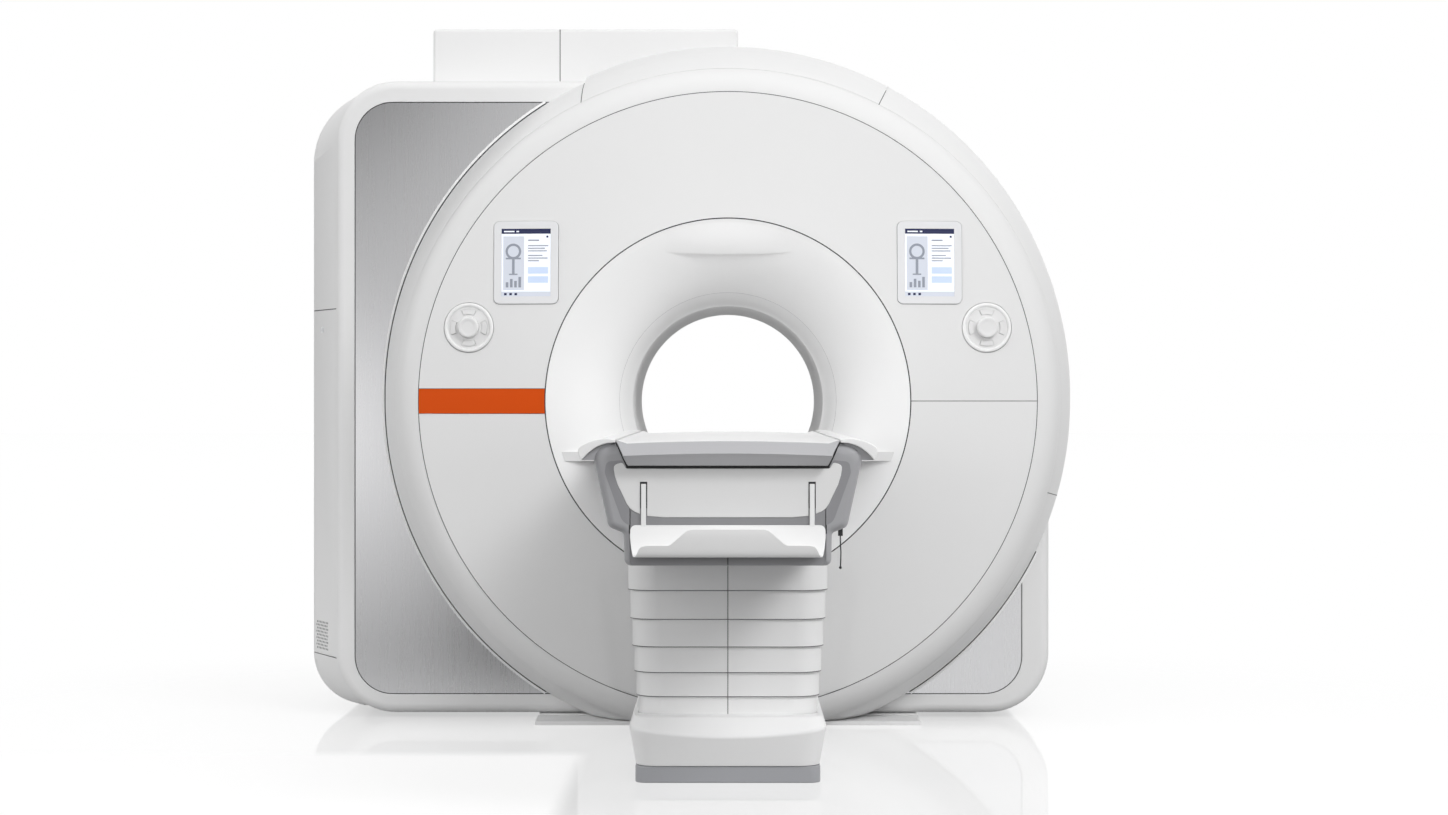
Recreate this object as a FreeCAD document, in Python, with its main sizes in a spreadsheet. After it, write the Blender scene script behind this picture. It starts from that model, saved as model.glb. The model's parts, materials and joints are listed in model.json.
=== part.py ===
import FreeCAD, Part
import math
import os
import Sketcher

# A whole-body magnetic resonance scanner with its patient table.
# Millimetres. +X is to the right as one faces the bore, +Z is up, and the front faces -Y.
# The origin is on the floor, straight below the middle of the bore.

DRIVING_SIZES = [
    # gantry front
    ("axis_height", 1000),            # bore axis above the floor
    ("bore_radius", 300),             # inside of the liner tube
    ("liner_wall", 8),
    ("liner_half_length", 465),       # the straight part of the bore ends here
    ("gantry_half_depth", 800),       # from the middle to the seam ring round the funnel
    ("disc_width", 388),              # front disc, from the seam ring round the funnel to its edge
    ("skin", 8),                      # wall of the moulded covers
    ("seam_gap", 0.6),                # open joint between two covers
    ("disc_setback", 30),             # how far that edge lies behind the seam ring
    ("crease_inset", 56),             # the rolled edge turns into the rim this far inside it
    ("roll_width", 79),
    ("crease_setback", 100),
    ("roll_arc", 95),                 # radius of the rolled edge in section
    ("rim_radius", 1080),             # widest part of the rim
    ("rim_setback", 320),             # the rim meets the housing's front plane here
    ("rim_rise", 22),                 # the upper half of the rim is lifted by this much there
    ("rim_tail", 80),                 # the rim runs on behind that plane at the top and right
    ("rim_tail_rise", 46),
    ("rim_lap", 40),                  # side panels run on this far behind the rim
    ("top_seam_left", 452),           # upright seam of the rim, left of the middle
    ("right_seam_angle", 27),         # rim seams, from the top, clockwise seen from the front
    ("low_seam_angle", 106),
    ("floor_gap", 15),                # covers end this far above the floor
    ("band_drop", 38),                # coloured band on the left of the disc, below the axis
    ("band_height", 75),
    # housing behind the rim
    ("housing_left_reach", 160),      # beyond the rim's radius
    ("housing_right_inset", 65),      # inside the rim's radius
    ("shoulder_drop", 89),            # the flat roof on the left lies this far below the barrel's crown
    ("housing_back", 700),            # rear edge of the side covers
    ("barrel_inset", 25),             # the roof follows the rim on the right
    ("frame_corner", 190),            # corner radius of the front frame
    ("frame_depth", 50),
    ("frame_left", 62),               # widths of the front frame round the metal panels
    ("frame_right", 86),
    ("frame_top", 68),
    ("frame_bottom", 60),
    ("frame_edge", 30),               # rounded front edge of the frame
    ("panel_corner", 120),
    ("panel_sheet", 3),
    ("panel_recess", 2),
    ("panel_gap", 1.5),
    ("panel_rebate", 15),
    ("bulge", 107),                   # the left side swells by this much
    ("bulge_front", 230),             # length over which it swells
    ("bulge_back", 250),
    ("bulge_corner", 240),
    ("bulge_foot", 170),
    ("left_seam_rise", 293),          # seams of the sides, above the axis
    ("right_seam_rise", 300),
    ("foot_seam_height", 186),
    # turret on the roof
    ("turret_left", 954),
    ("turret_right", 33),
    ("turret_seam", 543),
    ("turret_front", 250),
    ("turret_back", 450),
    ("turret_height", 192),
    ("turret_edge", 12),
    ("turret_inset", 90),             # the hatch in the roof is this much smaller all round
    # magnet and coils
    ("vessel_margin", 25),            # outside the ring that carries the front disc
    ("vessel_bore", 450),
    ("vessel_half_length", 690),
    ("vessel_edge", 45),
    ("gradient_inner", 345),
    ("gradient_half_length", 600),
    ("fit_gap", 0.5),                 # gap round pieces that sit in one another
    ("bridge_gap", 5),                # below the table top's underside
    ("bridge_thickness", 28),
    ("drum_inset", 40),               # ring that carries the front disc, inside the disc's edge
    ("drum_wall", 20),
    ("feet_pitch_x", 900),
    ("feet_pitch_y", 900),
    ("foot_block", 190),
    ("foot_plate", 290),
    ("foot_plate_thickness", 14),
    ("anchor_radius", 11),
    ("quench_x", 450),                # quench outlet, left of and behind the middle
    ("quench_y", 200),
    ("quench_bore", 52),
    ("quench_wall", 6),
    ("quench_flange", 110),
    ("quench_flange_thickness", 18),
    ("quench_stub", 30),
    ("quench_bolts", 90),             # radius of the bolt circle
    ("quench_bolt_hole", 7),
    ("rear_disc_inset", 45),
    ("rear_drum_step", 40),
    # displays and control units
    ("display_x", 615),
    ("display_z", 422),
    ("display_width", 198),
    ("display_height", 253),
    ("display_corner", 18),
    ("display_depth", 24),
    ("display_proud", 4),
    ("screen_width", 151),
    ("screen_height", 207),
    ("screen_recess", 2),
    ("control_x", 790),
    ("control_z", 224),
    ("control_radius", 76),
    ("control_ring", 13),             # width of the raised rim
    ("control_depth", 26),
    ("control_proud", 5),
    ("control_dish", 4),              # the disc lies this far below the rim
    ("knob_radius", 32),
    ("knob_height", 20),
    ("knob_spindle", 8),
    ("spindle_gap", 0.06),
    ("knob_gap", 1),
    ("button_inner", 40),
    ("button_outer", 57),
    ("button_angle", 48),
    ("button_angle_gap", 1.2),        # degrees, at each end of a button
    ("button_gap", 0.6),
    ("button_depth", 9),
    ("button_proud", 3),
    ("button_travel", 1.5),
    ("button_play", 0.3),
    # patient table, lifted part
    ("table_foot_end", 2834),         # from the middle of the bore, towards the front
    ("table_head_end", 850),
    ("top_foot_end", 2862),
    ("top_nose", 15),
    ("top_head_end", 830),
    ("top_half_width", 265),
    ("top_base_half_width", 237),
    ("top_drop", 150),                # underside of the table top, below the axis
    ("top_thickness", 56),
    ("top_ridge", 27),                # height of the nose's ridge above the underside
    ("top_crown", 4),
    ("top_running_gap", 0.4),
    ("top_side_gap", 4),
    ("arm_outer", 313),               # half widths of the table's body, from the top down
    ("waist_outer", 280),
    ("neck_outer", 242),
    ("arm_rise", 8),                  # above the table top's underside
    ("waist_drop", 144),              # below it
    ("neck_drop", 158),
    ("body_drop", 235),
    ("body_wall", 12),
    ("end_wall", 26),
    ("head_block_half", 267),
    ("head_block_drop", 150),
    ("panel_inset", 6),               # depth of the recess that the end panel sits in
    ("panel_step", 2),                # the panel's face lies this far inside it
    ("panel_margin", 3),
    ("panel_rise", 24),
    ("panel_round", 30),
    ("panel_bow", 5),
    ("panel_foot_half", 212),
    ("panel_top_half", 267),
    ("end_groove_x", 225),            # two upright grooves beside and below the end panel
    ("end_groove", 4),
    ("end_groove_drop", 88),
    ("wing_tip", 349),
    ("wing_thickness", 26),
    ("wing_rise", 57),
    ("rail_half_pitch", 115),
    ("rail_width", 30),
    ("rail_tie", 12),
    ("tray_half_width", 228),
    ("tray_back_drop", 139),
    ("tray_drop", 212),
    ("tray_depth", 62),
    ("tray_sheet", 4),
    ("tray_bend", 22),
    ("tray_lip_height", 30),          # above the tray's underside
    ("tray_lip_crest", 62),
    ("hanger_half_pitch", 195),
    ("hanger_width", 15),
    ("hanger_sheet", 4),
    ("hanger_drop", 39),
    ("hook_width", 11),
    ("hook_inset", 14.6),             # its middle, from the outer edge of the waist
    ("hook_height", 24),
    ("hook_from_foot", 84),
    ("cord_diameter", 3),
    ("cord_length", 78),
    # patient table, columns and folding cover
    ("lift_travel", 315),
    ("slat_count", 6),
    ("slat_1_half_width", 264),
    ("slat_front", 1985),
    ("slat_back", 870),
    ("slat_wall", 4.5),
    ("slat_play", 0.8),
    ("slat_corner", 76),
    ("slat_overlap", 15),
    ("slat_2_height", 76),
    ("slat_3_height", 73),
    ("slat_4_height", 68),
    ("slat_5_height", 64),
    ("slat_6_height", 43),
    ("slat_rest_gap", 2),
    ("slat_root", 55),                # how deep the lowest slat sits in the base cover
    ("column_front", 1650),
    ("column_back", 1250),
    ("column_outer", 150),
    ("column_wall", 6),
    ("column_play", 0.5),
    ("column_end_gap", 4),
    ("column_top", 280),
    ("stage_length", 262),
    ("ram_flange", 12),
    ("base_cover_bottom", 44),
    ("base_cover_crest", 156),
    ("base_cover_top", 175),
    ("base_half_bottom", 241),
    ("base_half_crest", 262),
    ("base_half_top", 246),
    ("base_front_bottom", 2018),
    ("base_front_crest", 2050),
    ("base_front_top", 2010),
    ("base_back", 862),
    ("base_corner", 60),
    ("plinth_half_width", 243),
    ("plinth_front", 2012),
    ("plinth_wall", 18),
    ("floor_plate", 12),
    ("floor_plate_half_width", 200),
    ("floor_bolt_x", 320),
    ("floor_bolt_radius", 9),
]

DERIVED_SIZES = [
    ("crease_radius", "rim_radius - crease_inset"),
    ("disc_radius", "crease_radius - roll_width"),
    ("seam_ring_radius", "disc_radius - disc_width"),
    ("drum_radius", "disc_radius - drum_inset"),
    ("vessel_radius", "drum_radius + vessel_margin"),
    ("rear_disc_radius", "disc_radius - rear_disc_inset"),
    ("rear_drum_radius", "rear_disc_radius + rear_drum_step"),
    ("housing_left", "rim_radius + housing_left_reach"),
    ("housing_right", "rim_radius - housing_right_inset"),
    ("barrel_radius", "rim_radius - barrel_inset"),
    ("housing_top", "axis_height + rim_tail_rise + barrel_radius - shoulder_drop"),
    ("turret_top", "housing_top + turret_height"),
    ("band_bottom", "axis_height - band_drop"),
    ("left_seam_height", "axis_height + left_seam_rise"),
    ("right_seam_height", "axis_height + right_seam_rise"),
    ("top_underside", "axis_height - top_drop"),
    ("arm_top", "top_underside + arm_rise"),
    ("wing_top", "top_underside + wing_rise"),
    ("waist_height", "top_underside - waist_drop"),
    ("neck_height", "top_underside - neck_drop"),
    ("body_bottom", "top_underside - body_drop"),
    ("head_block_top", "top_underside - head_block_drop"),
    ("end_groove_top", "top_underside - end_groove_drop"),
    ("hanger_top", "top_underside - hanger_drop"),
    ("tray_back_top", "top_underside - tray_back_drop"),
    ("tray_bottom", "top_underside - tray_drop"),
    ("tray_lip_low", "tray_bottom + tray_lip_height"),
    ("tray_lip_high", "tray_bottom + tray_lip_crest"),
]

doc = FreeCAD.newDocument("mri_scanner")
sheet = doc.addObject("Spreadsheet::Sheet", "Sizes")
for row, (alias, number) in enumerate(DRIVING_SIZES, start=1):
    sheet.set(f"A{row}", alias)
    sheet.set(f"B{row}", str(number))
    sheet.setAlias(f"B{row}", alias)
doc.recompute()
for row, (alias, formula) in enumerate(DERIVED_SIZES, start=len(DRIVING_SIZES) + 2):
    sheet.set(f"A{row}", alias)
    sheet.set(f"B{row}", "=" + formula)
    sheet.setAlias(f"B{row}", alias)
    doc.recompute()

nodes = []


# ---------------------------------------------------------------- sizes that know their formula

class Size:
    """A length together with the sheet formula that it comes from."""

    def __init__(self, value, formula):
        self.value = float(value)
        self.formula = formula

    def __add__(self, other):
        other = as_size(other)
        return Size(self.value + other.value, f"({self.formula} + {other.formula})")

    def __sub__(self, other):
        other = as_size(other)
        return Size(self.value - other.value, f"({self.formula} - {other.formula})")

    def __mul__(self, other):
        other = as_size(other)
        return Size(self.value * other.value, f"({self.formula} * {other.formula})")

    def __truediv__(self, other):
        other = as_size(other)
        return Size(self.value / other.value, f"({self.formula} / {other.formula})")

    def __radd__(self, other):
        return as_size(other) + self

    def __rsub__(self, other):
        return as_size(other) - self

    def __rmul__(self, other):
        return as_size(other) * self

    def __neg__(self):
        return Size(-self.value, f"(0 - {self.formula})")


def as_size(value):
    return value if isinstance(value, Size) else Size(value, repr(float(value)))


def root(value):
    return Size(math.sqrt(value.value), f"sqrt({value.formula})")


class SheetSizes:
    """Reads a cell of the sheet by its alias."""

    def __getattr__(self, alias):
        return Size(sheet.get(alias), f"Sizes.{alias}")


S = SheetSizes()


def bind(thing, prop, size):
    thing.setExpression(prop, as_size(size).formula)


# ---------------------------------------------------------------- modelling helpers

def origin_plane(owner, plane):
    return [f for f in owner.Origin.OriginFeatures if f.Role == plane + "_Plane"][0]


def body(label):
    new = doc.addObject("PartDesign::Body", label)
    new.Label = label
    return new


def arc_between(start, end, radius):
    """The short arc from start to end; a positive radius turns left, a negative one turns right."""
    (ax, ay), (bx, by) = start, end
    span = math.hypot(bx - ax, by - ay)
    reach = math.sqrt(radius * radius - span * span / 4)
    side = 1 if radius > 0 else -1
    cx = (ax + bx) / 2 - side * reach * (by - ay) / span
    cy = (ay + by) / 2 + side * reach * (bx - ax) / span
    first, last = (start, end) if radius > 0 else (end, start)
    a0 = math.atan2(first[1] - cy, first[0] - cx)
    a1 = math.atan2(last[1] - cy, last[0] - cx)
    circle = Part.Circle(FreeCAD.Vector(cx, cy, 0), FreeCAD.Vector(0, 0, 1), abs(radius))
    return Part.ArcOfCircle(circle, a0, a1)


def outline(owner, plane, path, level=0):
    """A closed sketch. A point is (a, b), or (a, b, radius) where an arc leads on to the next."""
    sketch = owner.newObject("Sketcher::SketchObject", owner.Name + "_outline")
    sketch.AttachmentSupport = [(origin_plane(owner, plane), "")]
    sketch.MapMode = "FlatFace"
    bind(sketch, "AttachmentOffset.Base.z", level)
    path = [tuple(as_size(v) for v in point) for point in path]
    ends = []
    for here, after in zip(path, path[1:] + path[:1]):
        start = (here[0].value, here[1].value)
        end = (after[0].value, after[1].value)
        if len(here) == 2:
            sketch.addGeometry(Part.LineSegment(FreeCAD.Vector(*start, 0), FreeCAD.Vector(*end, 0)), False)
            ends.append((1, 2))
        else:
            sketch.addGeometry(arc_between(start, end, here[2].value), False)
            ends.append((1, 2) if here[2].value > 0 else (2, 1))
    for i, here in enumerate(path):
        after = (i + 1) % len(path)
        sketch.addConstraint(Sketcher.Constraint("Coincident", i, ends[i][1], after, ends[after][0]))
        for kind, size in (("DistanceX", here[0]), ("DistanceY", here[1])):
            index = sketch.addConstraint(Sketcher.Constraint(kind, i, ends[i][0], size.value))
            bind(sketch, f"Constraints[{index}]", size)
        if len(here) == 3:
            size = here[2] if here[2].value > 0 else -here[2]
            index = sketch.addConstraint(Sketcher.Constraint("Radius", i, size.value))
            bind(sketch, f"Constraints[{index}]", size)
    return sketch


def circles(owner, plane, places, level=0):
    """A sketch of circles, each (a, b, radius)."""
    sketch = owner.newObject("Sketcher::SketchObject", owner.Name + "_circles")
    sketch.AttachmentSupport = [(origin_plane(owner, plane), "")]
    sketch.MapMode = "FlatFace"
    bind(sketch, "AttachmentOffset.Base.z", level)
    for a, b, radius in places:
        a, b, radius = as_size(a), as_size(b), as_size(radius)
        centre = FreeCAD.Vector(a.value, b.value, 0)
        i = sketch.addGeometry(Part.Circle(centre, FreeCAD.Vector(0, 0, 1), radius.value), False)
        for kind, size in (("DistanceX", a), ("DistanceY", b)):
            index = sketch.addConstraint(Sketcher.Constraint(kind, i, 3, size.value))
            bind(sketch, f"Constraints[{index}]", size)
        index = sketch.addConstraint(Sketcher.Constraint("Radius", i, radius.value))
        bind(sketch, f"Constraints[{index}]", radius)
    return sketch


def span_of(plane, low, high):
    """Where a prism starts along its plane's normal, and its length. XZ's normal is -Y."""
    return (-as_size(high) if plane == "XZ" else as_size(low)), high - low


def prism(owner, plane, draw, shape, low, high, cut=False):
    """Adds or cuts the prism over a sketch, from low to high along the axis square to its plane."""
    start, length = span_of(plane, low, high)
    kind = "PartDesign::Pocket" if cut else "PartDesign::Pad"
    sketch = draw(owner, plane, shape, start)
    feature = owner.newObject(kind, owner.Name + ("_cut" if cut else "_pad"))
    feature.Profile = sketch
    bind(feature, "Length", length)
    feature.Reversed = cut
    doc.recompute()
    return feature


def add_prism(owner, plane, path, low, high):
    return prism(owner, plane, outline, path, low, high)


def cut_prism(owner, plane, path, low, high):
    return prism(owner, plane, outline, path, low, high, cut=True)


def cut_holes(owner, plane, places, low, high):
    return prism(owner, plane, circles, places, low, high, cut=True)


def turned(label, path, plane="YZ", axis="H_Axis"):
    """A body of revolution. On YZ a point is (along the bore, radius); on XZ it is (radius, height)."""
    new = body(label)
    sketch = outline(new, plane, path)
    feature = new.newObject("PartDesign::Revolution", label + "_turn")
    feature.Profile = sketch
    feature.ReferenceAxis = (sketch, [axis])
    feature.Angle = 360
    doc.recompute()
    return new


def round_edges(owner, wanted, radius):
    """Rounds the edges of the body's tip that the test picks out."""
    tip = owner.Tip
    names = [f"Edge{i}" for i, edge in enumerate(tip.Shape.Edges, start=1) if wanted(edge)]
    feature = owner.newObject("PartDesign::Fillet", owner.Name + "_round")
    feature.Base = (tip, names)
    bind(feature, "Radius", radius)
    doc.recompute()
    return feature


def is_upright(edge):
    box = edge.BoundBox
    return box.XLength < 0.01 and box.YLength < 0.01 and box.ZLength > 1


def rectangle(low_a, high_a, low_b, high_b):
    return [(low_a, low_b), (high_a, low_b), (high_a, high_b), (low_a, high_b)]


def rounded_rectangle(low_a, high_a, low_b, high_b, radius):
    return [(low_a + radius, low_b), (high_a - radius, low_b, radius),
            (high_a, low_b + radius), (high_a, high_b - radius, radius),
            (high_a - radius, high_b), (low_a + radius, high_b, radius),
            (low_a, high_b - radius), (low_a, low_b + radius, radius)]


def mirrored(path, *closing):
    """Adds the left half of a symmetrical outline to its right half. Closing is the radius between them."""
    arcs = [closing] + [tuple(point[2:]) for point in path[:-1]]
    left = [(-point[0], point[1]) + arc for point, arc in zip(path, arcs)]
    return path + left[::-1]


def box(label, low, high):
    """A box between two corners."""
    new = doc.addObject("Part::Box", label)
    for prop, a, b in zip(("Length", "Width", "Height"), low, high):
        bind(new, prop, as_size(b) - a)
    for prop, a in zip("xyz", low):
        bind(new, "Placement.Base." + prop, a)
    return new


def combined(label, kind, base, tool):
    """A cut, a common or a fuse of two objects."""
    new = doc.addObject("Part::" + kind, label)
    new.Base = base
    new.Tool = tool
    doc.recompute()
    return new


def fused(label, pieces):
    new = doc.addObject("Part::MultiFuse", label)
    new.Shapes = pieces
    doc.recompute()
    return new


def shaped(label, shape):
    """A piece whose shape is worked out in code."""
    new = doc.addObject("Part::Feature", label)
    new.Shape = shape
    return new


def keep(thing, label=None):
    """Marks a finished piece, and gives it the name of its file."""
    thing.Label = label or thing.Name
    nodes.append(thing)
    return thing


def on_axis(thing):
    """Lifts a piece that was made round the Y axis up to the bore axis."""
    bind(thing, "Placement.Base.z", S.axis_height)
    doc.recompute()
    return thing


# ---------------------------------------------------------------- gantry front

FRONT = -S.gantry_half_depth
WIDE = 4000                       # longer than anything that it cuts
funnel_reach = S.gantry_half_depth - S.liner_half_length
funnel_widening = S.seam_ring_radius - S.bore_radius
# a single arc, in line with the bore where it starts, carries the funnel out to the seam ring
funnel_arc = (funnel_widening * funnel_widening + funnel_reach * funnel_reach) / (2 * funnel_widening)


def make_bore_liner():
    inner, outer = S.bore_radius, S.bore_radius + S.liner_wall
    end = S.liner_half_length
    liner = turned("bore_liner", [(-end, inner), (end, inner), (end, outer), (-end, outer)])
    keep(on_axis(liner))


def make_front_funnel():
    skin_arc = funnel_arc - S.skin
    # the outer end of the skin lies on the same spoke of the arc as the seam ring
    funnel = turned("front_funnel", [
        (-S.liner_half_length, S.bore_radius + S.skin, -skin_arc),
        (-tail_depth, tail_radius),
        (FRONT, S.seam_ring_radius, funnel_arc),
        (-S.liner_half_length, S.bore_radius)])
    keep(on_axis(funnel))


tail_shrink = (funnel_arc - S.skin) / funnel_arc
tail_depth = S.liner_half_length + funnel_reach * tail_shrink
tail_radius = S.bore_radius + funnel_arc - (funnel_arc - funnel_widening) * tail_shrink


def make_bore_bridge():
    """The flat floor of the bore that the table top glides over."""
    # its ends keep to the funnels' own arc, set back by the fit gap
    arc = funnel_arc + S.fit_gap
    spoke = arc / funnel_arc
    depth = S.liner_half_length + funnel_reach * spoke
    mouth = S.bore_radius + funnel_arc - (funnel_arc - funnel_widening) * spoke
    straight, inner = S.liner_half_length, S.bore_radius - S.fit_gap
    inside = turned("bore_inside", [
        (-depth, 0), (depth, 0), (depth, mouth, -arc), (straight, inner), (-straight, inner, -arc),
        (-depth, mouth)])
    on_axis(inside)
    top, end = S.top_underside - S.bridge_gap, S.gantry_half_depth - S.skin
    slab = box("bridge_slab", (-WIDE, -end, top - S.bridge_thickness), (WIDE, end, top))
    keep(combined("bore_bridge", "Common", slab, inside))


def make_front_disc():
    """Two halves of a flat cone, with a coloured band let in between them on the left."""
    inner = S.seam_ring_radius + S.seam_gap
    edge = FRONT + S.disc_setback
    disc = on_axis(turned("disc", [
        (FRONT, inner), (FRONT + S.skin, tail_radius + S.seam_gap),
        (edge + S.skin, S.disc_radius), (edge, S.disc_radius)]))
    half_gap = S.seam_gap / 2
    band_low, band_high = S.band_bottom, S.band_bottom + S.band_height
    above = box("above_seam", (-WIDE, -WIDE, S.axis_height + half_gap), (WIDE, WIDE, WIDE))
    below = box("below_seam", (-WIDE, -WIDE, -WIDE), (WIDE, WIDE, S.axis_height - half_gap))
    band = box("band_room", (-WIDE, -WIDE, band_low), (0, WIDE, band_high))
    around = box("band_cut", (-WIDE, -WIDE, band_low - S.seam_gap), (0, WIDE, band_high + S.seam_gap))
    keep(combined("colour_band", "Common", disc, band))
    lower = combined("disc_lower_half", "Common", disc, below)
    keep(combined("front_disc_lower", "Cut", lower, around))
    upper = combined("disc_upper_half", "Common", disc, above)
    upper = combined("disc_upper_open", "Cut", upper, around)
    keep(combined("front_disc_upper", "Cut", upper, unit_openings()))


def make_front_roll():
    start = FRONT + S.disc_setback
    end = FRONT + S.crease_setback
    inner = S.disc_radius + S.seam_gap
    roll = turned("front_roll", [
        (start, inner, -S.roll_arc), (end, S.crease_radius),
        (end, S.crease_radius - S.skin, S.roll_arc - S.skin), (start + S.skin, inner)])
    cut_prism(roll, "XZ", rectangle(-WIDE, WIDE, -WIDE, S.floor_gap - S.axis_height), -WIDE, WIDE)
    keep(on_axis(roll))


# ---------------------------------------------------------------- rim and housing, by code

def v(x, y, z):
    return FreeCAD.Vector(x, y, z)


def obround(radius, rise, y):
    """A circle round the bore axis whose upper half is lifted by rise."""
    axis = S.axis_height.value
    top = axis + rise
    return Part.Wire([
        Part.Arc(v(radius, y, top), v(0, y, top + radius), v(-radius, y, top)).toShape(),
        Part.makeLine(v(-radius, y, top), v(-radius, y, axis)),
        Part.Arc(v(-radius, y, axis), v(0, y, axis - radius), v(radius, y, axis)).toShape(),
        Part.makeLine(v(radius, y, axis), v(radius, y, top))])


def loft(wires):
    return Part.makeLoft(wires, True, True)


def slab_of(wire, depth):
    return Part.Face(wire).extrude(v(0, depth, 0))


def wedge_box(x0, x1, y0, y1, z0, z1):
    return Part.makeBox(x1 - x0, y1 - y0, z1 - z0, v(x0, y0, z0))


def arc_point(cx, cz, radius, angle):
    """A point at an angle from straight up, clockwise as seen from the front."""
    turn = math.radians(angle)
    return cx + radius * math.sin(turn), cz + radius * math.cos(turn)


def housing_wire(y, inset=0, left=None, corner=None, foot=None):
    """The housing's outline: a box whose right shoulder is rounded off along the rim."""
    return outline_wire(
        y,
        left=-(left or S.housing_left.value) + inset,
        right=S.housing_right.value - inset,
        top=S.housing_top.value - inset,
        bottom=S.floor_gap.value + inset,
        barrel=S.barrel_radius.value - inset,
        corner=(corner or S.frame_corner.value) - inset,
        foot=(foot or S.frame_corner.value) - inset)


def outline_wire(y, left, right, top, bottom, barrel, corner, foot):
    centre = S.axis_height.value + S.rim_tail_rise.value
    shoulder = centre + math.sqrt(barrel * barrel - right * right)
    brow = -math.sqrt(barrel * barrel - (top - centre) ** 2)

    def bend(cx, cz, radius, first, last):
        ends = [arc_point(cx, cz, radius, angle) for angle in (first, (first + last) / 2, last)]
        return Part.Arc(*(v(x, y, z) for x, z in ends)).toShape()

    return Part.Wire([
        Part.makeLine(v(left + foot, y, bottom), v(right - foot, y, bottom)),
        bend(right - foot, bottom + foot, foot, 180, 90),
        Part.makeLine(v(right, y, bottom + foot), v(right, y, shoulder)),
        Part.Arc(v(right, y, shoulder), v(0, y, centre + barrel), v(brow, y, top)).toShape(),
        Part.makeLine(v(brow, y, top), v(left + corner, y, top)),
        bend(left + corner, top - corner, corner, 0, -90),
        Part.makeLine(v(left, y, top - corner), v(left, y, bottom + foot)),
        bend(left + foot, bottom + foot, foot, -90, -180)])


def housing_solid(inset=0, open_bottom=False):
    """The side covers' outer or inner shape: it swells to the left between its two ends."""
    front, back = rim_plane + S.frame_depth.value, S.housing_back.value
    full = S.housing_left.value + S.bulge.value
    swollen = dict(left=full, corner=S.bulge_corner.value, foot=S.bulge_foot.value)
    solid = loft([
        housing_wire(front, inset),
        housing_wire(front + S.bulge_front.value, inset, **swollen),
        housing_wire(back - S.bulge_back.value, inset, **swollen),
        housing_wire(back, inset)])
    if open_bottom:
        low = S.floor_gap.value
        solid = solid.fuse(wedge_box(-full + S.bulge_foot.value + inset, S.housing_right.value
                                     - S.frame_corner.value, front, back, low - inset, low + 2 * inset))
    return solid


rim_plane = (-S.gantry_half_depth + S.rim_setback).value
skin = S.skin.value
seam = S.seam_gap.value
fit = S.fit_gap.value


def rim_shell():
    """The rim as one piece, before its seams are cut."""
    front = (FRONT + S.crease_setback).value
    tail = rim_plane + S.rim_tail.value
    stations = [
        (S.crease_radius.value, 1, front + seam),
        (S.rim_radius.value, S.rim_rise.value, rim_plane),
        (S.rim_radius.value + 2, S.rim_tail_rise.value, tail)]
    outer = loft([obround(radius, rise, y) for radius, rise, y in stations])
    inner = loft([obround(radius - skin, rise, y) for radius, rise, y in stations])
    radius, rise, y = stations[-1]
    flange = slab_of(obround(radius - skin / 2, rise, y - skin), skin)
    above_floor = wedge_box(-WIDE, WIDE, -WIDE, WIDE, S.floor_gap.value, WIDE)
    return outer.cut(inner).fuse(flange).common(above_floor).cut(front_block(tail - rim_plane + skin, fit))


def seam_blade(angle, through_x=None):
    """A thin upright plate that parts the rim at a seam."""
    axis = S.axis_height.value
    if through_x is not None:
        return wedge_box(through_x - seam / 2, through_x + seam / 2, -WIDE, WIDE, axis, WIDE)
    blade = wedge_box(-seam / 2, seam / 2, -WIDE, WIDE, axis, WIDE)
    blade.rotate(v(0, 0, axis), v(0, 1, 0), angle)
    return blade


def make_rim():
    shell = rim_shell()
    for blade in (seam_blade(0, -S.top_seam_left.value), seam_blade(S.right_seam_angle.value),
                  seam_blade(S.low_seam_angle.value), seam_blade(180)):
        shell = shell.cut(blade)
    before_housing = wedge_box(-WIDE, WIDE, -WIDE, rim_plane - fit, 0, WIDE)
    labels = {"rim_top": (0, 1), "rim_upper_right": (1, 0.3), "rim_lower_right": (1, -1), "rim_left": (-1, 0)}
    solids = sorted(shell.Solids, key=lambda s: -s.Volume)[:len(labels)]
    for label, (side, height) in labels.items():
        def fitness(solid):
            centre = solid.CenterOfMass
            return side * centre.x + height * (centre.z - S.axis_height.value)
        piece = max(solids, key=fitness)
        solids.remove(piece)
        if label in ("rim_lower_right", "rim_left"):
            piece = piece.common(before_housing).Solids[0]
        keep(shaped(label, piece))


def frame_opening(y, depth, inset):
    """The hole that the front frame leaves for the metal panels, made smaller by inset."""
    wire = outline_wire(
        y,
        left=-S.housing_left.value + S.frame_left.value + inset,
        right=S.housing_right.value - S.frame_right.value - inset,
        top=S.housing_top.value - S.frame_top.value - inset,
        bottom=S.floor_gap.value + S.frame_bottom.value + inset,
        barrel=S.barrel_radius.value - S.frame_left.value - inset,
        corner=S.panel_corner.value - inset,
        foot=S.panel_corner.value - inset)
    return slab_of(wire, depth)


def front_block(depth, grow=0.0):
    """The housing's front as a solid block with its front edge rounded."""
    edge = S.frame_edge.value
    turns = [math.radians(angle) for angle in (0, 22.5, 45, 67.5, 90)]
    stations = [(edge * (1 - math.cos(turn)) - grow, edge * (1 - math.sin(turn)) - grow) for turn in turns]
    return loft([housing_wire(rim_plane + y, inset) for y, inset in stations + [(depth, -grow)]])


def make_front_frame():
    depth = S.frame_depth.value
    rebate = S.panel_recess.value + S.panel_sheet.value
    solid = front_block(depth).cut(frame_opening(rim_plane - skin, skin + rebate, 0))
    solid = solid.cut(frame_opening(rim_plane, depth + skin, S.panel_rebate.value))
    solid = solid.cut(vessel_cylinder(S.panel_gap.value))
    keep(shaped("front_frame", solid))


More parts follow.
